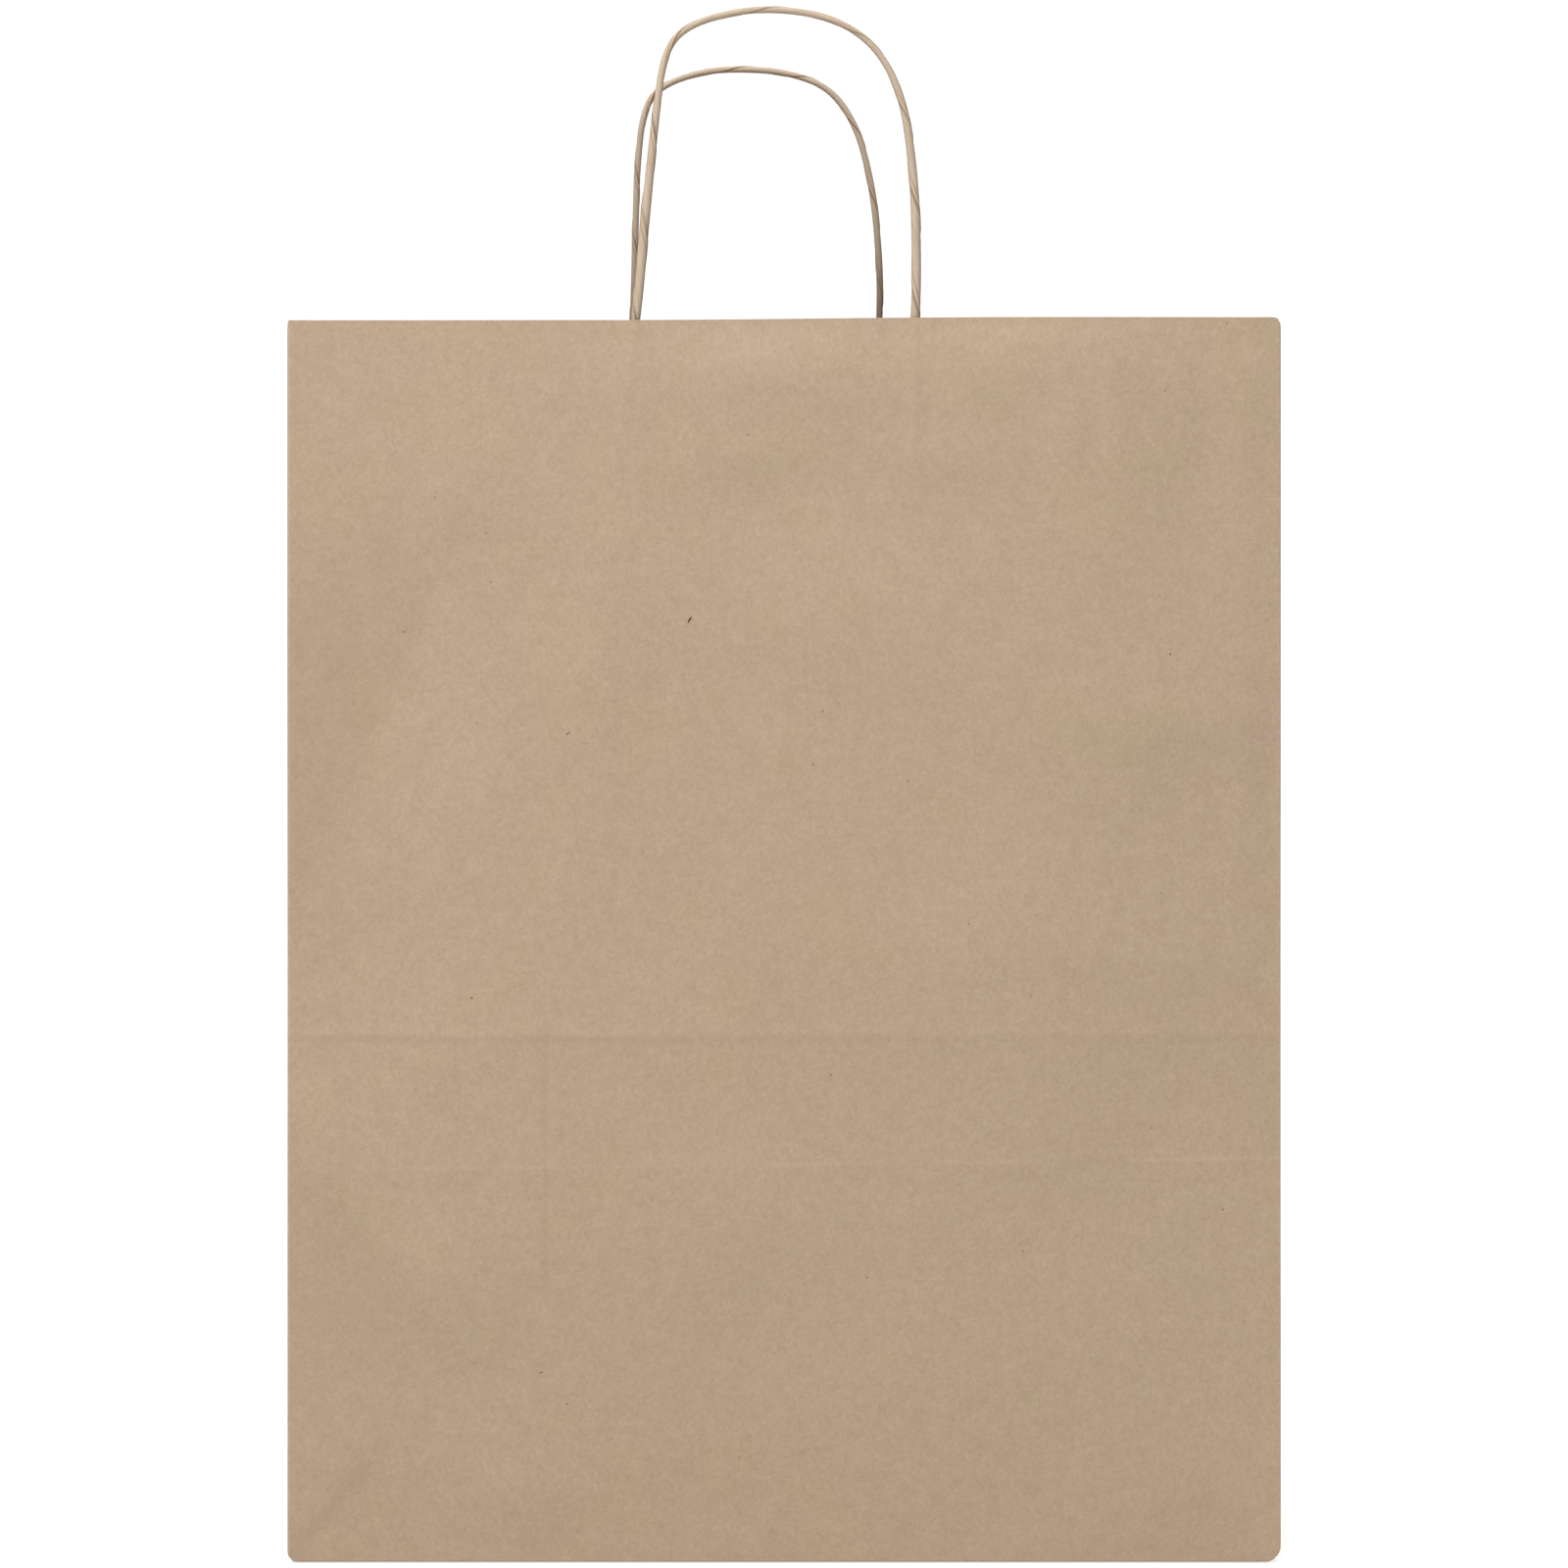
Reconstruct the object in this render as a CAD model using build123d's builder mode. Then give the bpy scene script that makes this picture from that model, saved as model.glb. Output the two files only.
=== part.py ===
"""A kraft-paper gift bag with two twisted-paper handles, built leaf by leaf as it folds.

The bag is one sheet of paper, creased into leaves: a front and a back panel, two side gussets that
fold in along their centre crease, and a block bottom. Each leaf is a solid of its own, so that the
bag can fold flat. Millimetres. X is the width, Y the depth with the front at -Y, and Z points up from
the surface that the bag stands on. The origin is the middle of the footprint.
"""

import math
import os

from build123d import *

# Overall size
bag_width = 320.0
bag_depth = 170.0
bag_height = 400.0

# Paper
paper = 0.2
crease_gap = 0.15  # half of the slit left where two leaves fold on each other
corner_radius = 2.5  # softened corners of the front and back panels
hem_depth = 40.0  # paper turned in at the mouth
hem_setback = 9.0  # how far a hem stays from a corner crease, so that the gusset can fold on it
seam_width = 20.0  # glue lap that closes the sheet into a tube
seam_setback = 6.0

# Block bottom
front_flap_length = 127.0
back_flap_length = 85.0
side_flap_length = 60.0
triangle_inset = 0.7  # how far each end of a gusset triangle stays from the bag's corner
triangle_recess = 0.5  # the triangle lies this far inside the gusset, so that it can slide past it

# Twisted-paper handles
cord_diameter = 3.0
cord_clearance = 0.1  # between a tail and the tunnel over it
foot_gap = 1.0  # between a tail and the ball at the foot of the loop
patch_length = 190.5
patch_height = 50.0
patch_drop = 3.0  # from the mouth down to the patch
tail_inset = 3.0  # the tails of a cord end this far above the patch's lower edge

# Routes of the two handle cords, as (x, height above the mouth), from the left foot to the right one
front_route = [
    (-47.3, 3),
    (-45.5, 25),
    (-43.6, 45),
    (-41.3, 66),
    (-38.9, 86),
    (-31.5, 95),
    (-14.5, 99.9),
    (2, 100.1),
    (17.8, 96.7),
    (30.4, 87.6),
    (38.1, 72.5),
    (41.3, 52.5),
    (42.5, 33),
    (42.8, 17),
    (42.3, 3),
]
back_route = [
    (-55.7, 3),
    (-55, 24),
    (-54.6, 45),
    (-53.9, 65),
    (-51.9, 84.6),
    (-45.8, 93.9),
    (-30.5, 99.4),
    (-14.5, 100.4),
    (1.6, 99),
    (17.4, 93.2),
    (26.8, 79),
    (31.9, 60),
    (34.6, 38),
    (35.4, 18.5),
    (34.9, 3),
]
# How far the lower end of each tail stands from its foot, left tail first
front_tail_shift = (-6.8, -1.6)
back_tail_shift = (-1.7, 2.0)

# Places that follow from the values above
half_width = bag_width / 2
half_depth = bag_depth / 2
cord_radius = cord_diameter / 2
strip_height = half_depth  # the back panel creases at half the bag's depth
leaf_width = half_depth - paper  # from a corner hinge to the centre crease
hem_face = half_depth - 2 * paper  # inner face of the front and back hems
base_face = hem_face - paper  # inner face of the patch that the cord lies on
cord_offset = base_face - cord_clearance / 5 - cord_radius  # the cords' distance from the mid-plane
floor_layers = 3  # sheets on top of each other in the block bottom
floor_top = floor_layers * paper
patch_top = bag_height - patch_drop
patch_bottom = patch_top - patch_height
sides = {"left": -1, "right": 1}


def save(part, name):
    """Labels a finished piece and writes it as one STEP file."""
    part.label = name
    export_step(part, f"parts/{name}.step")


def upright_plane(side, distance):
    """A vertical plane across the bag, `distance` from the middle; side is -1 at the front."""
    return Plane(origin=(0, side * distance, 0), x_dir=(1, 0, 0), z_dir=(0, -1, 0))


def inwards(side):
    """The sign that makes an extrusion from upright_plane() go into the bag."""
    return side


def gusset_plane(side):
    """The outer face of a side gusset, with its local x along +Y."""
    return Plane(origin=(side * half_width, 0, 0), x_dir=(0, 1, 0), z_dir=(1, 0, 0))


def front_wall():
    """The front panel, from the bottom crease up to the mouth."""
    with BuildPart() as panel:
        with BuildSketch(upright_plane(-1, half_depth)):
            with Locations((0, bag_height / 2)):
                RectangleRounded(bag_width, bag_height, corner_radius)
        extrude(amount=inwards(-1) * paper)
    return panel.part


def back_wall():
    """The back panel above its crease, with softened corners at the mouth."""
    low = strip_height + crease_gap
    with BuildPart() as panel:
        with BuildSketch(upright_plane(1, half_depth)) as outline:
            with Locations((0, (low + bag_height) / 2)):
                Rectangle(bag_width, bag_height - low)
            fillet(outline.vertices().sort_by(Axis.Y)[-2:], corner_radius)
        extrude(amount=inwards(1) * paper)
    return panel.part


def wall_hem(side):
    """The strip of a panel that is turned in at the mouth."""
    length = bag_width - 2 * hem_setback
    with BuildPart() as hem:
        with BuildSketch(upright_plane(side, half_depth - paper)):
            with Locations((0, bag_height - hem_depth / 2)):
                Rectangle(length, hem_depth)
        extrude(amount=inwards(side) * paper)
    return hem.part


def gusset_leaf(side, end):
    """Half of a gusset: end is -1 for the half beside the front panel, 1 beside the back."""
    corner = end * (half_depth - paper - crease_gap)
    centre = end * crease_gap
    foot = half_depth - abs(corner)
    apex = half_depth - abs(centre)
    with BuildPart() as leaf:
        with BuildSketch(gusset_plane(side)):
            with BuildLine():
                Polyline(
                    (corner, foot),
                    (centre, apex),
                    (centre, bag_height),
                    (corner, bag_height),
                    close=True,
                )
            make_face()
        extrude(amount=-side * paper)
    return leaf.part


def gusset_hem(side, end):
    """The strip of a gusset leaf that is turned in at the mouth."""
    length = half_depth - hem_setback - crease_gap
    middle = end * (crease_gap + length / 2)
    with BuildPart() as hem:
        with BuildSketch(gusset_plane(side).offset(-side * paper)):
            with Locations((middle, bag_height - hem_depth / 2)):
                Rectangle(length, hem_depth)
        extrude(amount=-side * paper)
    return hem.part


def gusset_triangle(side):
    """The triangle at the foot of a gusset, which folds down on to the bottom."""
    base = half_depth - triangle_inset
    low = floor_top + crease_gap
    with BuildPart() as triangle:
        with BuildSketch(gusset_plane(side).offset(-side * triangle_recess)):
            with BuildLine():
                Polyline((-base, low), (base, low), (0, low + base), close=True)
            make_face()
        extrude(amount=-side * paper)
    return triangle.part


def long_flap(end, length, level):
    """A bottom flap with slanted ends, from the front (-1) or back (1) edge past the middle."""
    hinge = half_depth - paper - crease_gap
    reach = hinge - length
    wide = half_width - paper - crease_gap
    narrow = wide - length / 2
    with BuildPart() as flap:
        with BuildSketch(Plane.XY.offset(level * paper)):
            with BuildLine():
                Polyline(
                    (-wide, end * hinge),
                    (wide, end * hinge),
                    (narrow, end * reach),
                    (-narrow, end * reach),
                    close=True,
                )
            make_face()
        extrude(amount=paper)
    return flap.part


def side_flap(side):
    """The tapered flap of a gusset that lies innermost in the bottom."""
    hinge = half_width - paper - crease_gap
    wide = half_depth - paper - crease_gap
    narrow = wide - side_flap_length
    with BuildPart() as flap:
        with BuildSketch(Plane.XY.offset((floor_layers - 1) * paper)):
            with BuildLine():
                Polyline(
                    (side * hinge, -wide),
                    (side * hinge, wide),
                    (side * (hinge - side_flap_length), narrow),
                    (side * (hinge - side_flap_length), -narrow),
                    close=True,
                )
            make_face()
        extrude(amount=paper)
    return flap.part


def fold_strip():
    """The foot of the back panel, which folds up behind it."""
    height = strip_height - crease_gap
    with BuildPart() as strip:
        with BuildSketch(upright_plane(1, half_depth)) as outline:
            with Locations((0, height / 2)):
                Rectangle(bag_width, height)
            fillet(outline.vertices().sort_by(Axis.Y)[:2], corner_radius)
        extrude(amount=inwards(1) * paper)
    return strip.part


def seam_lap():
    """The glue lap inside the right-hand edge of the back panel, below the hem."""
    low = strip_height + crease_gap
    height = bag_height - hem_depth - low
    middle = half_width - seam_setback - seam_width / 2
    with BuildPart() as lap:
        with BuildSketch(upright_plane(1, half_depth - paper)):
            with Locations((middle, low + height / 2)):
                Rectangle(seam_width, height)
        extrude(amount=inwards(1) * paper)
    return lap.part


def tail_axes(side, route, shifts):
    """The top and bottom point of each tail's axis, inside the patch."""
    low = patch_bottom + tail_inset
    high = bag_height + route[0][1] - cord_radius - foot_gap
    depth = side * cord_offset
    feet = (route[0][0], route[-1][0])
    return [
        (Vector(foot, depth, high), Vector(foot + shift, depth, low))
        for foot, shift in zip(feet, shifts)
    ]


def tail_plane(top, bottom):
    """A plane across a tail at its lower end, looking up along it."""
    return Plane(origin=bottom, x_dir=(0, 1, 0), z_dir=top - bottom)


def cord_tail(top, bottom):
    """One end of a handle cord, glued into the patch."""
    with BuildPart() as tail:
        with BuildSketch(tail_plane(top, bottom)):
            Circle(cord_radius)
        extrude(amount=(top - bottom).length)
    return tail.part


def patch_middle(route, shifts):
    """The x of a patch's middle: half-way between the lower ends of the tails."""
    return (route[0][0] + route[-1][0] + sum(shifts)) / 2


def patch_base(side, route, shifts):
    """The paper strip between the hem and the cord."""
    with BuildPart() as base:
        with BuildSketch(upright_plane(side, hem_face)):
            with Locations((patch_middle(route, shifts), patch_top - patch_height / 2)):
                Rectangle(patch_length, patch_height)
        extrude(amount=inwards(side) * paper)
    return base.part


def patch_cover(side, route, shifts):
    """The paper strip over the cord, glued down beside it, with a tunnel over each tail."""
    tunnel = cord_radius + cord_clearance
    deep = cord_offset + cord_radius + paper
    middle = (patch_middle(route, shifts), side * base_face, patch_top - patch_height / 2)
    room = (patch_length, 2 * deep, patch_height)
    with BuildPart() as cover:
        with BuildSketch(upright_plane(side, base_face)):
            with Locations((middle[0], middle[2])):
                Rectangle(patch_length, patch_height)
        extrude(amount=inwards(side) * paper)
        for top, bottom in tail_axes(side, route, shifts):
            with BuildSketch(tail_plane(top, bottom).offset(-patch_height)):
                Circle(tunnel + paper)
            extrude(amount=3 * patch_height)
        for top, bottom in tail_axes(side, route, shifts):
            with BuildSketch(tail_plane(top, bottom).offset(-patch_height)):
                Circle(tunnel)
            extrude(amount=3 * patch_height, mode=Mode.SUBTRACT)
        with Locations((middle[0], side * (base_face - deep), middle[2])):
            Box(*room, mode=Mode.INTERSECT)
    return cover.part


def bend_radii(points):
    """For each corner of a route, the radius whose arc takes up 0.45 of the shorter run."""
    radii = []
    for before, corner, after in zip(points, points[1:], points[2:]):
        turn = math.radians((corner - before).get_angle(after - corner))
        shorter = min((corner - before).length, (after - corner).length)
        radii.append(0.45 * shorter / math.tan(turn / 2))
    return radii


def handle_loop(name, side, route):
    """The free loop of a handle cord, with a ball at each foot where the cord flexes."""
    points = [Vector(x, side * cord_offset, bag_height + height) for x, height in route]
    radii = bend_radii(points)
    with BuildPart() as loop:
        with BuildLine() as line:
            FilletPolyline(*points, radius=radii)
        with BuildSketch(Plane(origin=points[0], z_dir=points[1] - points[0])):
            Circle(cord_radius)
        sweep(path=line.wires()[0])
        with Locations(points[0], points[-1]):
            Sphere(cord_radius)
    length = line.wires()[0].length
    expected = math.pi * cord_radius**2 * (length + 4 / 3 * cord_radius)
    print(name, "length", round(length, 1), "tightest", round(min(radii), 1),
          "volume share", round(loop.part.volume / expected, 4))
    return loop.part


os.makedirs("parts", exist_ok=True)

save(front_wall(), "front_panel")
save(back_wall(), "back_panel")
save(fold_strip(), "back_fold_strip")
save(seam_lap(), "side_seam_lap")

for side_name, side_sign in sides.items():
    for end_name, end_sign in {"front": -1, "back": 1}.items():
        save(gusset_leaf(side_sign, end_sign), f"{side_name}_gusset_{end_name}")
        save(gusset_hem(side_sign, end_sign), f"{side_name}_gusset_{end_name}_hem")
    save(gusset_triangle(side_sign), f"{side_name}_gusset_triangle")
    save(side_flap(side_sign), f"bottom_{side_name}_flap")

save(long_flap(1, back_flap_length, 0), "bottom_back_flap")
save(long_flap(-1, front_flap_length, 1), "bottom_front_flap")

for wall_name, wall_sign, cord_route, tail_shifts in (
    ("front", -1, front_route, front_tail_shift),
    ("back", 1, back_route, back_tail_shift),
):
    save(wall_hem(wall_sign), f"{wall_name}_hem")
    save(patch_base(wall_sign, cord_route, tail_shifts), f"{wall_name}_patch_base")
    save(patch_cover(wall_sign, cord_route, tail_shifts), f"{wall_name}_patch_cover")
    for side_name, tail_axis in zip(sides, tail_axes(wall_sign, cord_route, tail_shifts)):
        save(cord_tail(*tail_axis), f"{wall_name}_handle_{side_name}_tail")
    save(handle_loop(wall_name, wall_sign, cord_route), f"{wall_name}_handle_loop")
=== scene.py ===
"""Looks for a kraft paper gift bag with two twisted-paper handles.

Every leaf of the bag is a thin sheet with two faces and a cut edge. The leaves are laid out flat on a
sharp-cornered box, and one mapping then softens the creases and corners of that box, so neighbours
still meet along their creases. Metres throughout; the front of the bag faces -Y and Z points up.
"""

import logging
import math
from dataclasses import dataclass, field
from enum import Enum
from typing import Callable, Iterable, Sequence

import bmesh
import bpy
import numpy as np
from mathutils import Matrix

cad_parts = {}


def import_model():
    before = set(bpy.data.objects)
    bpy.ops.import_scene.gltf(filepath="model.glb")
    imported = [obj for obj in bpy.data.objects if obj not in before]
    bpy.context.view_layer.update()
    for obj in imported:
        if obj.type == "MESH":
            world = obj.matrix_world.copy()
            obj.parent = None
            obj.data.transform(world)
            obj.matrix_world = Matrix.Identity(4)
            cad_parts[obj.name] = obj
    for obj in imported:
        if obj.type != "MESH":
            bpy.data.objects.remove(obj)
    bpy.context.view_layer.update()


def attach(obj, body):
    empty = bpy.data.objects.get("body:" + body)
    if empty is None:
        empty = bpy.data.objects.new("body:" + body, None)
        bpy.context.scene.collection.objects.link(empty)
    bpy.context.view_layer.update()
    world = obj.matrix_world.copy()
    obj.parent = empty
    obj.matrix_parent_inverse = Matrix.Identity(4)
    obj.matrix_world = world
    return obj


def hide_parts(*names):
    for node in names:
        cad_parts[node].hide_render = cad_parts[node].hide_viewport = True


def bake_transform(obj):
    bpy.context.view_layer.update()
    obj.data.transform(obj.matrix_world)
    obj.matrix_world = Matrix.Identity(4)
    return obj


LOG = logging.getLogger("gift_bag")

Points = np.ndarray
Link = object  # a node socket, or a value where a socket may also go


class Face(Enum):
    """The five faces of the box that the leaves lie on."""

    FRONT = "front"
    BACK = "back"
    LEFT = "left"
    RIGHT = "right"
    FLOOR = "floor"


@dataclass(frozen=True)
class BagSizes:
    """The sizes that the whole bag shares."""

    width: float = 0.320
    depth: float = 0.170
    height: float = 0.400
    paper: float = 0.0002
    hem: float = 0.040
    crease_round: float = 0.0007

    @property
    def half_width(self) -> float:
        """Half the bag's width."""
        return self.width / 2

    @property
    def half_depth(self) -> float:
        """Half the bag's depth, which is also the height of a gusset triangle."""
        return self.depth / 2


SIZES = BagSizes()


def smooth_step(value: Points, low: float, high: float) -> Points:
    """Rises smoothly from 0 at low to 1 at high.

    Args:
        value: Where to look.
        low: The last value that gives 0.
        high: The first value that gives 1.

    Returns:
        The share, in the shape of value.
    """
    share = np.clip((value - low) / (high - low), 0.0, 1.0)
    return share * share * (3.0 - 2.0 * share)


def hump(value: Points, centre: float, reach: float) -> Points:
    """A bell curve, 1 at centre.

    Args:
        value: Where to look.
        centre: The place of the top.
        reach: The distance at which it has fallen to 0.37.

    Returns:
        The height of the bell, in the shape of value.
    """
    return np.exp(-(((value - centre) / reach) ** 2))


def off_line(across: Points, up: Points, start: Sequence[float], end: Sequence[float]) -> tuple[Points, Points]:
    """Where points lie beside a straight line.

    Args:
        across: First coordinate of the points.
        up: Second coordinate of the points.
        start: The line's first end.
        end: The line's other end.

    Returns:
        The signed distance to the left of the line, and the share along it from 0 to 1.
    """
    dx, dy = end[0] - start[0], end[1] - start[1]
    length = math.hypot(dx, dy)
    along = ((across - start[0]) * dx + (up - start[1]) * dy) / length**2
    side = ((up - start[1]) * dx - (across - start[0]) * dy) / length
    return side, along


def within(along: Points, soft: float = 0.08) -> Points:
    """1 between the ends of a line and 0 outside, with soft ends.

    Args:
        along: The share along the line.
        soft: The share over which an end fades.

    Returns:
        The weight, in the shape of along.
    """
    return smooth_step(along, -soft, soft) * (1.0 - smooth_step(along, 1.0 - soft, 1.0 + soft))


@dataclass(frozen=True)
class Ripple:
    """Slow waves in a hand-sized piece of paper, as a sum of sine waves in fixed directions."""

    seed: int
    wavelength: float
    height: float
    waves: int = 18

    def at(self, across: Points, up: Points) -> Points:
        """The height of the ripple.

        Args:
            across: First coordinate of the points.
            up: Second coordinate of the points.

        Returns:
            The height at each point.
        """
        random = np.random.default_rng(self.seed)
        total = np.zeros(np.broadcast(across, up).shape)
        for _ in range(self.waves):
            angle = random.uniform(0, math.pi)
            length = self.wavelength * random.uniform(0.6, 1.9)
            phase = random.uniform(0, 2 * math.pi)
            turn = 2 * math.pi / length
            total += np.sin(turn * (across * math.cos(angle) + up * math.sin(angle)) + phase)
        return self.height * total * math.sqrt(2.0 / self.waves)


def stops(low: float, high: float, step: float, fine: Iterable[tuple[float, float, float]] = ()) -> Points:
    """Grid lines from low to high, closer together round the places that need it.

    Args:
        low: The first line.
        high: The last line.
        step: The usual distance between lines.
        fine: For each fine place, its centre, its reach and the distance between its lines.

    Returns:
        The lines, in order.
    """
    lines = list(np.linspace(low, high, max(2, round((high - low) / step) + 1)))
    for centre, reach, gap in fine:
        lines = [v for v in lines if abs(v - centre) > reach or v in (low, high)]
        lines += list(np.arange(centre - reach, centre + reach + gap / 2, gap))
    kept = sorted(v for v in set(lines) if low <= v <= high)
    result = [kept[0]]
    for value in kept[1:]:
        if value - result[-1] > 2e-5:
            result.append(value)
    result[-1] = high
    return np.array(result)


@dataclass(frozen=True)
class Fold:
    """A straight line along which the paper has been bent outwards, or inwards if its height is negative."""

    start: tuple
    end: tuple
    height: float
    reach: float
    soft: float = 0.0
    ends: float = 0.2

    def lift(self, x: Points, z: Points) -> Points:
        """How far the fold moves the panel outwards.

        Args:
            x: Across the panel.
            z: Up the panel.

        Returns:
            The outward distance at each point.
        """
        side, along = off_line(x, z, self.start, self.end)
        slope = (np.hypot(side, self.soft) - self.soft) / self.reach
        return self.height * np.exp(-slope) * within(along, self.ends)


@dataclass(frozen=True)
class Dent:
    """A soft, oval swelling in the paper, which may reach further below its middle than above."""

    x: float
    z: float
    wide: float
    tall: float
    height: float
    turn: float = 0.0
    foot: float = 0.0

    def lift(self, x: Points, z: Points) -> Points:
        """How far the dent moves the panel outwards.

        Args:
            x: Across the panel.
            z: Up the panel.

        Returns:
            The outward distance at each point.
        """
        cos, sin = math.cos(math.radians(self.turn)), math.sin(math.radians(self.turn))
        u = (x - self.x) * cos + (z - self.z) * sin
        v = (z - self.z) * cos - (x - self.x) * sin
        tall = np.where(v < 0, self.foot or self.tall, self.tall)
        return self.height * np.exp(-((u / self.wide) ** 2) - (v / tall) ** 2)


@dataclass(frozen=True)
class Rub:
    """A straight line along which handling has scuffed the paper pale, or along which shade is painted dark."""

    start: tuple
    end: tuple
    reach: float
    strength: float
    ends: float

    def at(self, x: Points, z: Points) -> Points:
        """How strong the rub is.

        Args:
            x: Across the panel.
            z: Up the panel.

        Returns:
            The strength at each point, from 0 to 1.
        """
        side, along = off_line(x, z, self.start, self.end)
        return self.strength * hump(side, 0.0, self.reach) * within(along, self.ends)


@dataclass(frozen=True)
class Facets:
    """Flat facets that meet along soft folds, as in paper that has been pressed and let go again."""

    corners: tuple
    facets: tuple
    soft: float = 0.005

    def flat(self, x: Points, z: Points) -> Points:
        """The height of the sharp facets, which is nothing outside them.

        Args:
            x: Across the panel.
            z: Up the panel.

        Returns:
            The outward distance at each point.
        """
        total = 0.0 * x
        for facet in self.facets:
            (xa, za, ha), (xb, zb, hb), (xc, zc, hc) = (self.corners[i] for i in facet)
            area = (xb - xa) * (zc - za) - (xc - xa) * (zb - za)
            b = ((x - xa) * (zc - za) - (xc - xa) * (z - za)) / area
            c = ((xb - xa) * (z - za) - (x - xa) * (zb - za)) / area
            inside = (b >= 0) & (c > 0) & (b + c <= 1)
            total = np.where(inside, ha + b * (hb - ha) + c * (hc - ha), total)
        return total

    def lift(self, x: Points, z: Points) -> Points:
        """The height of the facets once their folds are softened.

        Args:
            x: Across the panel.
            z: Up the panel.

        Returns:
            The outward distance at each point.
        """
        total, count = self.flat(x, z), 1
        for ring, places in ((0.5, 6), (1.0, 10)):
            for step in range(places):
                turn = 2 * math.pi * step / places
                reach = ring * self.soft
                total = total + self.flat(x + reach * math.cos(turn), z + reach * math.sin(turn))
                count += 1
        return total / count


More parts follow.
